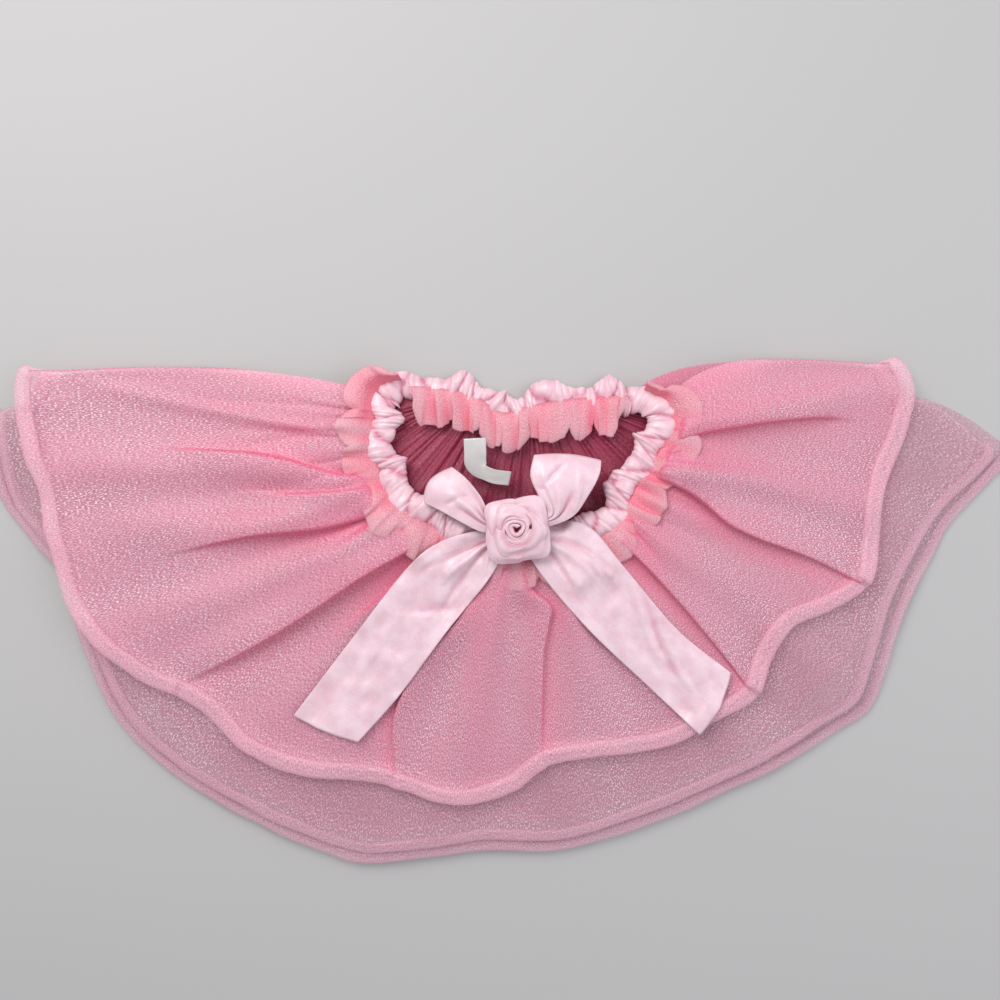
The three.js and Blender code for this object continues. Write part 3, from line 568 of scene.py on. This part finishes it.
def makeGrid(name, columns, rows, place, look, cloth, thickness=0.35, closed=False, faceUp=True):
    # A piece of cloth from a grid. place(u, v) gives x, y, z and how deep its colour is, from its layers and
    # painted shade, and cloth is its cut size in metres, for the threads. closed joins the grid's two ends.
    grid = bmesh.new()
    bmesh.ops.create_grid(grid, x_segments=columns, y_segments=rows, size=0.5)
    mesh = bpy.data.meshes.new(name)
    grid.to_mesh(mesh)
    grid.free()
    flat = np.empty(len(mesh.vertices) * 3)
    mesh.vertices.foreach_get("co", flat)
    u, v = flat[0::3] + 0.5, flat[1::3] + 0.5
    x, y, z, tintAndShade = place(u, v)
    mesh.vertices.foreach_set("co", toScene(x, y, z).ravel())
    corners = np.empty(len(mesh.loops), int)
    mesh.loops.foreach_get("vertex_index", corners)
    threads = np.column_stack((u[corners] * cloth[0], v[corners] * cloth[1]))
    mesh.uv_layers.new(name="cloth").data.foreach_set("uv", threads.ravel())
    mesh.update()
    tilt = np.empty(len(mesh.vertices) * 3)
    mesh.vertex_normals.foreach_get("vector", tilt)
    if faceUp and tilt[2::3].mean() < 0:
        mesh.flip_normals()
    slope = 1 / np.clip(np.abs(tilt[2::3]), 0.4, 1)
    layers = np.broadcast_to(tintAndShade, u.shape) * (slope if faceUp else 1)
    # This per-point value holds cloth layers together with painted shade.
    mesh.attributes.new("tintAndShade", "FLOAT", "POINT").data.foreach_set("value", layers)
    if closed or not faceUp:
        joined = bmesh.new()
        joined.from_mesh(mesh)
        bmesh.ops.remove_doubles(joined, verts=joined.verts[:], dist=1e-6)
        bmesh.ops.recalc_face_normals(joined, faces=joined.faces[:])
        joined.to_mesh(mesh)
        joined.free()
    mesh.shade_smooth()
    mesh.materials.append(look)
    piece = bpy.data.objects.new(name, mesh)
    bpy.context.collection.objects.link(piece)
    if thickness:
        shell = piece.modifiers.new("thickness", "SOLIDIFY")
        shell.thickness = thickness * mm
        shell.offset = 0
    return piece


def declare(piece, node):
    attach(piece, "root")
    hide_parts(node)
    return piece


print("stage: the four tiers")

hems = {
    "short": {"width": 9.8, "height": 4.6, "backHeight": 3.6, "first": 0.004, "last": 0.996},
    "long": {"width": 6.4, "height": 3.2, "backHeight": 3.2, "first": 0.006, "last": 0.994},
}
lines = {
    "shortFront": edgeLine(shortFrontEdge),
    "shortBack": edgeLine(shortBackEdge),
    "longFront": edgeLine(longFrontEdge),
    "longBack": edgeLine(longBackEdge),
}


def alongFront(share):
    return waist.beside(mix(frontStart, frontEnd, share), casing["width"] / 2 - 1)


def alongBack(share):
    x, y, z = waist.beside(mix(backLeft, backRight, share), -casing["width"] / 2 + 2)
    return [x, y - 4 * (1 - (2 * share - 1) ** 6), z]


def gathers(u, v, sets, seed):
    # Rounded gathers with sharp valleys between them. Each of sets has a count, a height, the share of the
    # panel that it reaches down to, and the share of its height that is left below that.
    total = np.zeros(u.shape)
    for number, (count, height, reachDown, least) in enumerate(sets):
        drift = wander(u * 9, v * 1.6, seed + 7.3 * number) * 0.9
        ripple = wander(u * count + drift, v * 0.9 + number, seed + number)
        rounded = np.minimum(1, np.abs(ripple) * 2.1) ** 0.8
        total += height * rounded * mix(least, 1, 1 - soft(v / reachDown))
    return total


valleyLayersAndShade = 2.6  # cloth doubled between the gathers at the waist, with painted shade in those valleys


def makeTier(name, shape):
    edge, hem, sides = shape["edge"], hems[shape["hem"]], shape["sides"]
    hemArc = edge.length

    def place(u, v):
        start = shape["startAt"](u)
        endShare = mix(hem["first"], hem["last"], u)
        end = edge.beside(endShare, -hem["width"] * 0.6)
        x = mix(start[0], end[0], v)
        y = mix(start[1], end[1], v)
        y = y + (1 - np.clip(u / 0.2, 0, 1)) ** 2 * sides["left"] * np.sin(np.pi * v ** sides["leftSkew"])
        right = (1 - np.clip((1 - u) / 0.2, 0, 1)) ** 2
        y = y + right * sides["right"] * np.sin(np.pi * v ** sides["rightSkew"])
        bearing = bearingOf(x, y)
        height, lean, doubledAndShaded = lapsAt(shape.get("laps", []), bearing, v, np.hypot(x, y))
        height = height + foldsAt(shape["folds"], bearing, v)
        puckers = gathers(u, v, shape["gathers"], shape["seed"])
        onHem = shape["hemRise"] * soft((v - 0.94) / 0.06)
        fromSide = np.minimum(u, 1 - u) / 0.014
        calm = soft(fromSide / 3)
        z = shape["rest"](x, y) + 0.5 + (height + puckers) * calm + onHem
        if shape.get("turnDown"):
            turned = soft((v - 0.3) / 0.3) * (1 - soft((v - 0.92) / 0.08))
            rounded = np.sqrt(1 - (1 - np.clip(fromSide, 0, 1)) ** 2)
            z = mix(z, mix(shape["turnDown"], z, rounded), turned)
        turn = np.radians(bearing)
        x = x - np.sin(turn) * lean * calm
        y = y + np.cos(turn) * lean * calm
        arc = mix(shape["waistArc"], hemArc, v ** 0.85)
        mostPuckers = sum(height for _, height, _, _ in shape["gathers"])
        # Painted shade: the valleys between the gathers are deepened towards the waist.
        valleyShade = valleyLayersAndShade * np.clip(0.5 - puckers / mostPuckers, 0, 1) * (1 - soft(v / 0.5))
        full = shape["cutFull"] * (hemArc / arc) ** 0.75 + doubledAndShaded + valleyShade
        # Painted shade inside the waist: the back tier is deepened there for its bunched layers and for the
        # shade that falls inside.
        inside = shape.get("bunchedAndShadedInside", 0) * (1 - soft((v - 0.16) / 0.16))
        full = np.minimum(full, shape["mostLayers"]) + inside
        z = mix(start[2], z, soft(v / 0.07))
        return x, y, z, full

    cloth = (hemArc * mm, shape["length"])
    return makeGrid(name, shape["columns"], shape["rows"], place, shape["look"], cloth)


shortSides = {"left": 9, "leftSkew": 0.9, "right": 18, "rightSkew": 0.58}
longSides = {"left": 14, "leftSkew": 1.35, "right": 22, "rightSkew": 2.4}
topTierBack = makeTier("topTierBack", {
    "startAt": alongBack, "edge": lines["shortBack"], "hem": "short", "sides": shortSides,
    "columns": 300, "rows": 40, "rest": onFloor, "folds": backFolds, "seed": 3.1,
    "gathers": [(60, 0.8, 0.3, 0), (24, 0.5, 0.7, 0.2)], "hemRise": 0.8, "waistArc": 150, "cutFull": 1.15,
    "mostLayers": 4, "length": 0.21, "look": topOrganza,
})
lowerTierBack = makeTier("lowerTierBack", {
    "startAt": alongBack, "edge": lines["longBack"], "hem": "long", "sides": longSides,
    "columns": 480, "rows": 56, "rest": restOfLongBack, "folds": backFolds, "seed": 11.7,
    "gathers": [(70, 1.7, 0.35, 0), (30, 2.0, 0.5, 0.1), (13, 0.8, 0.8, 0.5)], "hemRise": 0.8,
    "waistArc": 150, "cutFull": 1.25, "mostLayers": 5, "bunchedAndShadedInside": 7, "length": 0.24,
    "look": lowerOrganza,
})
lowerTierFront = makeTier("lowerTierFront", {
    "startAt": alongFront, "edge": lines["longFront"], "hem": "long", "sides": longSides,
    "columns": 480, "rows": 56, "rest": lambda x, y: restOfLongFront(x, y), "folds": [], "seed": 23.9,
    "gathers": [(60, 1.0, 0.3, 0), (24, 0.8, 0.9, 0.5), (12, 0.9, 1.0, 0.8)], "hemRise": 2.0,
    "waistArc": 290, "cutFull": 1.15, "mostLayers": 4, "length": 0.22, "look": lowerOrganza,
})
topTierFront = makeTier("topTierFront", {
    "startAt": alongFront, "edge": lines["shortFront"], "hem": "short", "sides": shortSides,
    "columns": 620, "rows": 64, "rest": lambda x, y: restOfShortFront(x, y, False), "folds": frontFolds,
    "gathers": [(90, 0.8, 0.16, 0), (44, 1.9, 0.34, 0), (22, 2.2, 0.6, 0.05), (12, 1.8, 1.0, 0.4)],
    "seed": 41.3, "hemRise": 3.1, "turnDown": 1.6, "waistArc": 290, "cutFull": 1.06, "mostLayers": 3.6,
    "length": 0.19,
    "look": topOrganza, "laps": frontLaps,
})
tiers = [
    (topTierBack, "top_tier_back", "top_tier_organza"),
    (lowerTierBack, "lower_tier_back", "lower_tier_organza"),
    (lowerTierFront, "lower_tier_front", "lower_tier_organza"),
    (topTierFront, "top_tier_front", "top_tier_organza"),
]
for piece, node, slot in tiers:
    declare(piece, node)


print("stage: the rolled hems")


def makeHem(name, shape):
    edge, width, height, seed = shape["edge"], shape["width"], shape["height"], shape["seed"]

    def place(u, v):
        turn = 2 * np.pi * v
        taper = mix(0.12, 1, soft(np.minimum(u, 1 - u) / 0.018))
        plump = 1 + 0.16 * wander(u * 26, 0 * u, seed) + 0.06 * wander(u * 120, v * 3, seed + 5)
        middle = edge.beside(u, -width / 2)
        across = width / 2 * taper * plump * np.cos(turn)
        up = height / 2 * taper * plump * np.sin(turn)
        dx, dy = edge.heading(u)
        waver = 0.8 * wander(u * 40, 0 * u, seed + 9)
        x = middle[0] + dy * (across + waver)
        y = middle[1] - dx * (across + waver)
        z = shape["rest"](middle[0], middle[1]) + shape["lift"] + height / 2 * taper + up
        return x, y, z, 1.5 + 0.25 * wander(u * 60, v * 2, seed + 2)

    cloth = (edge.length * mm, 0.03)
    return makeGrid(name, 700, 14, place, shape["look"], cloth, thickness=0, closed=True, faceUp=False)


topHemBack = makeHem("topHemBack", {
    "edge": lines["shortBack"], "width": hems["short"]["width"], "height": hems["short"]["backHeight"],
    "rest": onFloor, "lift": 0.1, "seed": 2.2, "look": thickHemOrganza,
})
lowerHemBack = makeHem("lowerHemBack", {
    "edge": lines["longBack"], "width": hems["long"]["width"], "height": hems["long"]["backHeight"],
    "rest": restOfLongBack, "lift": 0.1, "seed": 4.6, "look": thinHemOrganza,
})
lowerHemFront = makeHem("lowerHemFront", {
    "edge": lines["longFront"], "width": hems["long"]["width"], "height": hems["long"]["height"],
    "rest": restOfLongFront, "lift": 0.7, "seed": 7.1, "look": thinHemOrganza,
})
topHemFront = makeHem("topHemFront", {
    "edge": lines["shortFront"], "width": hems["short"]["width"], "height": hems["short"]["height"],
    "rest": restOfShortFront, "lift": 0.7, "seed": 9.4, "look": thickHemOrganza,
})
for piece, node in (
    (topHemBack, "top_hem_back"),
    (lowerHemBack, "lower_hem_back"),
    (lowerHemFront, "lower_hem_front"),
    (topHemFront, "top_hem_front"),
):
    declare(piece, node)


print("stage: the waist")

ruching = {"puffs": 33, "zigzag": 0.32, "meander": 3.2, "meanderPace": 0.8, "lowest": 0.3}


def placeCasing(u, v):
    turn, loop = 2 * np.pi * v, 2 * np.pi * u
    ringX, ringY = np.cos(loop), np.sin(loop)
    phase = ruching["puffs"] * u + 0.75 * wander(3.2 * ringX, 3.2 * ringY, 5.5)
    phase = phase + 0.5 * wander(9 * ringX, 9 * ringY, 8.5)
    zigzag = ruching["zigzag"] * np.cos(np.pi * phase) * np.cos(turn)
    puff = np.abs(np.sin(np.pi * (phase + zigzag))) ** 0.55
    pucker = np.abs(np.sin(np.pi * (2.37 * phase - 1.6 * zigzag + 0.3))) ** 0.6
    kind = 0.8 + 0.55 * wander(14 * ringX, 14 * ringY, 3.5)
    full = 0.62 + 0.38 * puff * kind + 0.13 * pucker
    fine = 0.45 * wander(60 * ringX + 2 * np.cos(turn), 60 * ringY + 2 * np.sin(turn), 6.5)
    side = ruching["meander"] * np.sin(np.pi * phase * ruching["meanderPace"] + 2)
    side = side * (0.6 + kind / 2)
    middle = waist.at(u)
    dx, dy = waist.heading(u)
    across = (casing["width"] / 2 * mix(full, 1, 0.4) + fine * 0.7) * np.cos(turn) + side
    up = (casing["height"] / 2 * full ** 1.7 * 1.25 + fine) * np.sin(turn)
    # Painted shade in the creases between the puffs and puckers.
    creaseShade = 0.95 * np.clip(1 - puff * 1.4, 0, 1) + 0.3 * np.clip(1 - pucker * 1.8, 0, 1)
    # It is pressed flat where it lies on the floor.
    height = np.maximum(middle[2] + up, ruching["lowest"] + 0.1 * fine)
    return middle[0] + dy * across, middle[1] - dx * across, height, creaseShade


waistCasing = makeGrid(
    "waistCasing", 800, 24, placeCasing, casingSatin, (0.9, 0.05), thickness=0.3, closed=True, faceUp=False
)
declare(waistCasing, "waist_casing")


def makeFrill(name, shape):
    # The doubled heading of the gathers: out along the top, over a soft edge and back underneath.

    def place(u, v):
        share = mix(shape["first"], shape["last"], u)
        upper = np.where(v < 0.5, 1.0, -1.0)
        out = np.sin(np.pi * v)  # 0 at the casing and 1 at the folded edge
        lobePhase = u * shape["lobes"] + 0.9 * wander(u * shape["lobes"] * 0.45, 0 * u, shape["seed"])
        lobes = np.abs(np.sin(np.pi * lobePhase)) ** 0.45 * 1.5 - 1.1
        ripple = wander(u * shape["waves"], out * 0.5, shape["seed"] + 3)
        small = wander(u * shape["waves"] * 2.1, out * 0.9, shape["seed"] + 5)
        ends = soft(np.minimum(u, 1 - u) / shape["taper"])
        reach = (shape["width"] + shape["lobeDepth"] * lobes) * out * mix(0.2, 1, ends)
        reach = reach + shape["curl"] * ripple * out ** 2
        start, side = shape["start"], shape["side"]
        x, y, casingHeight = waist.beside(share, side * (start + (reach if side > 0 else 0)))
        y = y - (0 if side > 0 else reach)
        dx, dy = waist.heading(share)
        sway = (shape["sway"] * small + 1.6 * ripple) * out
        x, y = x + dx * sway, y + dy * sway
        swell = shape["puff"] * np.sqrt(np.clip(1 - out ** 2, 0, 1)) * np.sqrt(np.clip(out * 3, 0, 1))
        wave = shape["waveHeight"] * (0.4 + 1.0 * ripple + 0.3 * small) * (0.2 + 0.8 * out)
        rest = mix(casingHeight + shape["above"], shape["rest"](x, y), soft(out * 1.6))
        z = rest + wave + upper * swell * (0.7 + 0.5 * ripple)
        # Painted light: the pink is deepened as painted shade in the low places of the ripples, paled along
        # the folded rim as a painted highlight, and deeper towards the casing.
        rimHighlight = 0.7 * hill(out - 1, 0.16)
        return x, y, z, 1.3 + 2.1 * np.clip(0.3 - ripple, 0, 1) + 0.7 * (1 - out) - rimHighlight

    return makeGrid(name, shape["columns"], 28, place, frillOrganza, (shape["cut"], 0.09))


frillOuter = makeFrill("frillOuter", {
    "first": frontStart - 0.03, "last": frontEnd + 0.03, "side": 1, "start": 4.5, "width": 19, "lobes": 14,
    "lobeDepth": 6.0, "waves": 46, "waveHeight": 4.4, "curl": 3.6, "sway": 2.4, "puff": 2.6, "seed": 17.7,
    "columns": 760, "cut": 0.75, "taper": 0.05, "above": 0.5,
    "rest": lambda x, y: restOfShortFront(x, y, False) + 4.6,
})
frillInner = makeFrill("frillInner", {
    "first": backRight, "last": backLeft, "side": -1, "start": 0.5, "width": 21, "lobes": 7, "lobeDepth": 6.0,
    "waves": 24, "waveHeight": 3.4, "curl": 3.4, "sway": 2.6, "puff": 2.2, "seed": 27.3,
    "columns": 380, "cut": 0.36, "taper": 0.06, "above": 4.2, "rest": lambda x, y: 9.4 + 0 * x,
})
declare(frillOuter, "frill_outer")
declare(frillInner, "frill_inner")

label = {
    "path": [
        (-24.5, 11, 16.4), (-24.2, 3, 15.6), (-23.6, -4.5, 13.8), (-15.5, -10, 14.6), (-4.5, -11.8, 15.2),
    ],
    "width": 12.5, "endWidth": 8, "crown": 0.9, "tilt": 2.2,
}


def placeLabel(u, v):
    bend = soft((v - 0.38) / 0.24)
    middle = Line(label["path"]).at(v)
    heading = np.radians(mix(3, 78, bend))
    sideways = (u - 0.5) * mix(label["width"], label["endWidth"], bend)
    x = middle[0] + np.cos(heading) * sideways
    y = middle[1] + np.sin(heading) * sideways
    z = middle[2] + label["crown"] * np.sin(np.pi * u) * (1 - bend) + label["tilt"] * bend * (u - 0.5)
    z = z + 0.3 * wander(u * 3, v * 4, 2.4)
    # Painted shade across the bend of the label.
    return x, y, z, 0.25 * hill(v - 0.46, 0.07)


careLabel = makeGrid("careLabel", 24, 36, placeLabel, labelSatin, (0.0125, 0.04), thickness=0.3)
declare(careLabel, "care_label")


print("stage: the bow")


def heightsOver(pieces):
    # A function that gives the height of the cloth under a place, in millimetres.
    depsgraph = bpy.context.evaluated_depsgraph_get()
    trees = [BVHTree.FromObject(piece, depsgraph) for piece in pieces]

    def heightAt(x, y):
        top = toScene(x, y, 80)
        best = 0.0
        for tree in trees:
            hit = tree.ray_cast(Vector(top), Vector((0, 0, -1)))[0]
            if hit is not None:
                best = max(best, hit.z / mm)
        return best

    return heightAt


clothUnder = heightsOver([topTierFront, topHemFront, frillOuter, waistCasing, lowerTierFront, lowerHemFront])


def drapedOver(placeFlat, columns, rows, clearance, passes):
    # Heights of a coarse net of ribbon laid over the cloth, eased so that it spans the hollows.
    heights = np.zeros((columns + 1, rows + 1))
    for i in range(columns + 1):
        for j in range(rows + 1):
            x, y = placeFlat(np.array(i / columns), np.array(j / rows))
            heights[i, j] = max(clothUnder(float(x) + aside, float(y)) for aside in (0, 2.5, -2.5))
    heights += clearance
    eased = heights.copy()
    for _ in range(passes):
        padded = np.pad(eased, 1, mode="edge")
        around = padded[:-2, 1:-1] + padded[2:, 1:-1] + padded[1:-1, :-2] + padded[1:-1, 2:]
        eased = np.maximum(mix(eased, around / 4, 0.7), heights - 0.35)

    def heightAt(u, v):
        i = np.clip(u * columns, 0, columns - 1e-6)
        j = np.clip(v * rows, 0, rows - 1e-6)
        i0, j0 = i.astype(int), j.astype(int)
        s = mix(i - i0, soft(i - i0), 0.5)
        t = mix(j - j0, soft(j - j0), 0.5)
        near = mix(eased[i0, j0], eased[i0 + 1, j0], s)
        far = mix(eased[i0, j0 + 1], eased[i0 + 1, j0 + 1], s)
        return mix(near, far, t)

    return heightAt


def creased(u, v, creases):
    # Soft troughs and ridges on the ribbon, from one place on its cut to another.
    total = np.zeros(u.shape)
    for x0, y0, x1, y1, depth, width in creases:
        dx, dy = x1 - x0, y1 - y0
        t = np.clip(((u - x0) * dx + (v - y0) * dy) / (dx * dx + dy * dy), 0, 1)
        off = np.hypot((u - x0 - t * dx) * 40, (v - y0 - t * dy) * 120)
        total += depth * hill(off, width) * np.sin(np.pi * mix(0.15, 0.95, t))
    return total


# Each tail lies between two edge lines, from the knot to the cut end.
tails = {
    "bowTailLeft": {
        "node": "bow_tail_left",
        "one": [(-13, -40), (-30, -42.5), (-46, -48.5), (-59, -58.5), (-93, -101), (-127.6, -146.4)],
        "other": [(-5, -46), (-8.5, -54), (-15, -66), (-42.5, -101), (-68, -135.6), (-90.7, -161.1)],
        "bulge": 1.6,
        "creases": [
            (0.5, 0.0, 0.16, 0.34, -2.4, 2.6), (0.5, 0.0, 0.5, 0.36, 2.2, 3.0),
            (0.5, 0.0, 0.78, 0.4, -2.2, 2.8), (0.86, 0.36, 0.28, 0.47, -1.8, 3.4),
            (0.3, 0.5, 0.42, 0.86, 1.5, 4.2), (0.62, 0.55, 0.7, 0.9, -1.1, 4.5),
            (0.1, 0.7, 0.9, 0.62, 0.9, 4.0), (0.5, 0.02, 0.95, 0.2, 1.6, 2.4),
        ],
        "seed": 51.1,
    },
    "bowTailRight": {
        "node": "bow_tail_right",
        "one": [(3, -47), (5.5, -54), (14, -67), (39.7, -97), (70, -126), (102.6, -156.6)],
        "other": [(9, -40), (24, -35.5), (39, -38.5), (60, -62), (91, -98), (120.8, -122)],
        "bulge": 2.6,
        "creases": [
            (0.5, 0.0, 0.2, 0.3, -2.2, 2.6), (0.5, 0.0, 0.55, 0.34, 2.0, 3.0),
            (0.5, 0.0, 0.82, 0.36, -2.0, 2.8), (0.95, 0.56, 0.35, 0.84, -2.0, 3.0),
            (0.9, 0.5, 0.3, 0.76, 1.4, 3.6), (0.12, 0.42, 0.7, 0.5, 1.0, 4.2),
            (0.4, 0.9, 0.6, 0.75, 0.8, 4.0),
        ],
        "seed": 61.7,
    },
}


def makeTail(name, tail):
    one = Line([(x, y, 0) for x, y in tail["one"]])
    other = Line([(x, y, 0) for x, y in tail["other"]])

    def flatPlace(u, v):
        a, b = one.at(v), other.at(v)
        dx, dy = one.heading(v)
        out = tail["bulge"] * np.sin(np.pi * u) * v ** 6
        return mix(a[0], b[0], u) + dx * out, mix(a[1], b[1], u) + dy * out

    lie = drapedOver(flatPlace, 12, 34, 1.1, 6)

    def place(u, v):
        x, y = flatPlace(u, v)
        broad = 1.7 * wander(u * 1.8, v * 4.6, tail["seed"])
        waves = broad + 1.3 * wander(u * 3.8, v * 12, tail["seed"] + 8)
        curl = 0.8 * np.abs(2 * u - 1) ** 3 * wander(u * 2, v * 5, tail["seed"] + 4)
        folds = creased(u, v, tail["creases"])
        z = lie(u, v) + waves + curl + 0.6 + folds
        # Painted shade in the troughs of the creases near the knot and in the dents of the ribbon.
        gatheredShade = 0.5 * (1 - soft(v / 0.2)) * np.clip(-folds, 0, 1)
        dentShade = np.clip(-folds - 0.5 * waves, 0, 2.2)
        return x, y, np.maximum(z, lie(u, v) - 0.4), gatheredShade + 0.2 * dentShade

    piece = makeGrid(name, 44, 110, place, ribbonSatin, (0.041, 0.135), thickness=0.45)
    return declare(piece, tail["node"])


tailPieces = [makeTail(name, tail) for name, tail in tails.items()]

loops = {
    "bowLoopLeft": {
        "node": "bow_loop_left",
        "one": [(-8, -43), (-20.7, -41.5), (-33, -35.5), (-44, -29.5), (-52.4, -25.5)],
        "other": [(-5, -37), (-15.5, -31.5), (-21.3, -21.5), (-29.5, -11.5), (-37, -5.5)],
        "base": 23.5, "rise": 6.2, "round": 0.7, "bulge": 5.5,
        "creases": [
            (0.5, 0.0, 0.3, 0.62, -2.4, 3.0), (0.5, 0.0, 0.66, 0.5, -2.2, 2.6),
            (0.5, 0.0, 0.5, 0.8, 1.6, 4.0), (0.2, 0.75, 0.75, 0.62, -1.3, 3.6),
            (0.85, 0.2, 0.9, 0.7, -1.4, 2.8),
        ],
        "seed": 71.3,
    },
    "bowLoopRight": {
        "node": "bow_loop_right",
        "one": [(4, -36), (15.8, -30.5), (11, -21), (6.8, -10), (8.8, 1.2)],
        "other": [(10, -41), (30.1, -33), (39, -21), (45, -9.5), (46.2, -1.8)],
        "base": 24.0, "rise": 6.6, "round": 0.72, "bulge": 2.0,
        "creases": [
            (0.5, 0.0, 0.2, 0.6, -2.2, 2.8), (0.5, 0.0, 0.45, 0.72, 1.8, 3.4),
            (0.5, 0.0, 0.72, 0.62, -2.6, 2.8), (0.15, 0.6, 0.5, 0.95, -1.2, 3.4),
            (0.9, 0.45, 0.7, 0.9, 1.2, 3.2), (0.35, 0.3, 0.15, 0.9, 1.2, 2.8),
        ],
        "seed": 81.9,
    },
}


def makeLoop(name, loop):
    one = Line([(x, y, 0) for x, y in loop["one"]])
    other = Line([(x, y, 0) for x, y in loop["other"]])

    def place(u, v):
        # v runs out along the top of the loop, round its end and back underneath
        out = 1 - np.abs(2 * v - 1)
        top = np.where(v < 0.5, 1.0, -1.0)
        past = np.clip((out - loop["round"]) / (1 - loop["round"]), 0, 1)
        plump = np.sqrt(1 - past ** 2) * mix(0.35, 1, soft(out / 0.55))
        a, b = one.at(out), other.at(out)
        dx, dy = one.heading(np.full(np.shape(out), 0.9))
        reach = loop["bulge"] * np.sin(np.pi * u) * out ** 3
        x = mix(a[0], b[0], u) + dx * reach
        y = mix(a[1], b[1], u) + dy * reach
        crown = 0.72 + 0.28 * np.sin(np.pi * u)
        folds = creased(u, out, loop["creases"]) * (0.5 + 0.5 * top)
        ruffle = 0.7 * wander(u * 3.4, out * 3.4 + top, loop["seed"])
        z = loop["base"] + top * loop["rise"] * plump * crown + (folds + ruffle) * plump
        # Painted shade in the dents and near the knot.
        dentShade = np.clip(-folds - 0.6 * ruffle, 0, 1.8)
        return x, y, z, 0.34 * dentShade + 0.35 * (1 - soft(out / 0.3))

    piece = makeGrid(name, 40, 120, place, ribbonSatin, (0.041, 0.1), thickness=0.45, faceUp=False)
    return declare(piece, loop["node"])


loopPieces = [makeLoop(name, loop) for name, loop in loops.items()]


print("stage: the rosette")

rosette = {"base": 26.0, "heartHeight": 10.6, "heartRadius": 6.9, "turns": 2.9, "lip": 2.1}


def placeHeart(u, v):
    turn = 2 * np.pi * rosette["turns"] * u + 0.6
    lip = soft((v - 0.5) / 0.5)
    reach = mix(0.4, rosette["heartRadius"], u ** 0.9) + rosette["lip"] * lip + 0.35 * np.sin(3 * turn)
    height = rosette["heartHeight"] * (0.93 + 0.05 * np.sin(turn * 1.5)) * mix(1, 0.9, u)
    x = knot["x"] - 0.8 + reach * np.cos(turn)
    y = knot["y"] + 0.9 + reach * 0.94 * np.sin(turn)
    z = rosette["base"] + height * np.sin(np.pi / 2 * np.minimum(v * 1.25, 1)) - 0.5 * lip
    # Painted shade, deeper down in the spiral below its lip.
    return x, y, z, 0.5 * (1 - lip)


rosetteHeart = makeGrid("rosetteHeart", 170, 24, placeHeart, ribbonSatin, (0.07, 0.01), 0.4, faceUp=False)
declare(rosetteHeart, "rosette_heart")

petalRings = [
    {"name": "inner", "count": 3, "radius": 5.8, "spiral": 2.2, "height": 9.2, "turn": 20, "lip": 5.6,
     "drop": 3.0},
    {"name": "outer", "count": 4, "radius": 9.6, "spiral": 2.4, "height": 6.6, "turn": 62, "lip": 6.4,
     "drop": 4.2},
]


def makePetal(ring, number):
    sweep = 360 / ring["count"] + 40

    def place(u, v):
        turn = np.radians(ring["turn"] + 360 * number / ring["count"] + sweep * u)
        edge = np.clip(np.sin(np.pi * u), 0, 1) ** 0.5
        rise = np.minimum(v / 0.35, 1)
        over = np.clip((v - 0.35) / 0.65, 0, 1)
        wobble = 1.3 * wander(u * 3.4, v * 1.4, ring["radius"] + 3.7 * number)
        point = 1 + 0.2 * hill(u - 0.62, 0.14) * over
        reach = ring["radius"] + ring["spiral"] * u + 0.8 * rise
        reach = reach + ring["lip"] * mix(0.35, 1, edge) * over ** 0.8
        reach = (reach + wobble) * point
        fold = 0.7 * np.sin(np.pi * over * 2 + 5 * u + number)
        z = rosette["base"] + ring["height"] * (0.84 + 0.16 * edge) * np.sin(rise * np.pi / 2)
        z = z - ring["drop"] * over ** 1.8 + fold * over * (1 - over) * 2 + 0.5 * u
        x = knot["x"] + reach * np.cos(turn)
        y = knot["y"] + reach * 1.02 * np.sin(turn)
        # Painted shade at the petal's foot and in a band across it, away from its edges.
        return x, y, z, 0.55 * (1 - over) ** 3 + 0.25 * hill(over - 0.55, 0.2) * (1 - edge)

    name = f"rosettePetal{ring['name'].capitalize()}{number + 1}"
    piece = makeGrid(name, 56, 26, place, ribbonSatin, (0.03, 0.018), 0.4, faceUp=False)
    return declare(piece, f"rosette_petal_{ring['name']}_{number + 1}")


petals = [makePetal(ring, number) for ring in petalRings for number in range(ring["count"])]


print("stage: floor")

floorGrid = bmesh.new()
bmesh.ops.create_grid(floorGrid, x_segments=1, y_segments=1, size=3)
floorMesh = bpy.data.meshes.new("floor")
floorGrid.to_mesh(floorMesh)
floorGrid.free()
floor = bpy.data.objects.new("floor", floorMesh)
bpy.context.collection.objects.link(floor)
floorLook, floorTree, floorShader = startMaterial("paleFloor")
floorShader.inputs["Base Color"].default_value = (0.5, 0.49, 0.485, 1)
floorShader.inputs["Roughness"].default_value = 0.7
floorMesh.materials.append(floorLook)
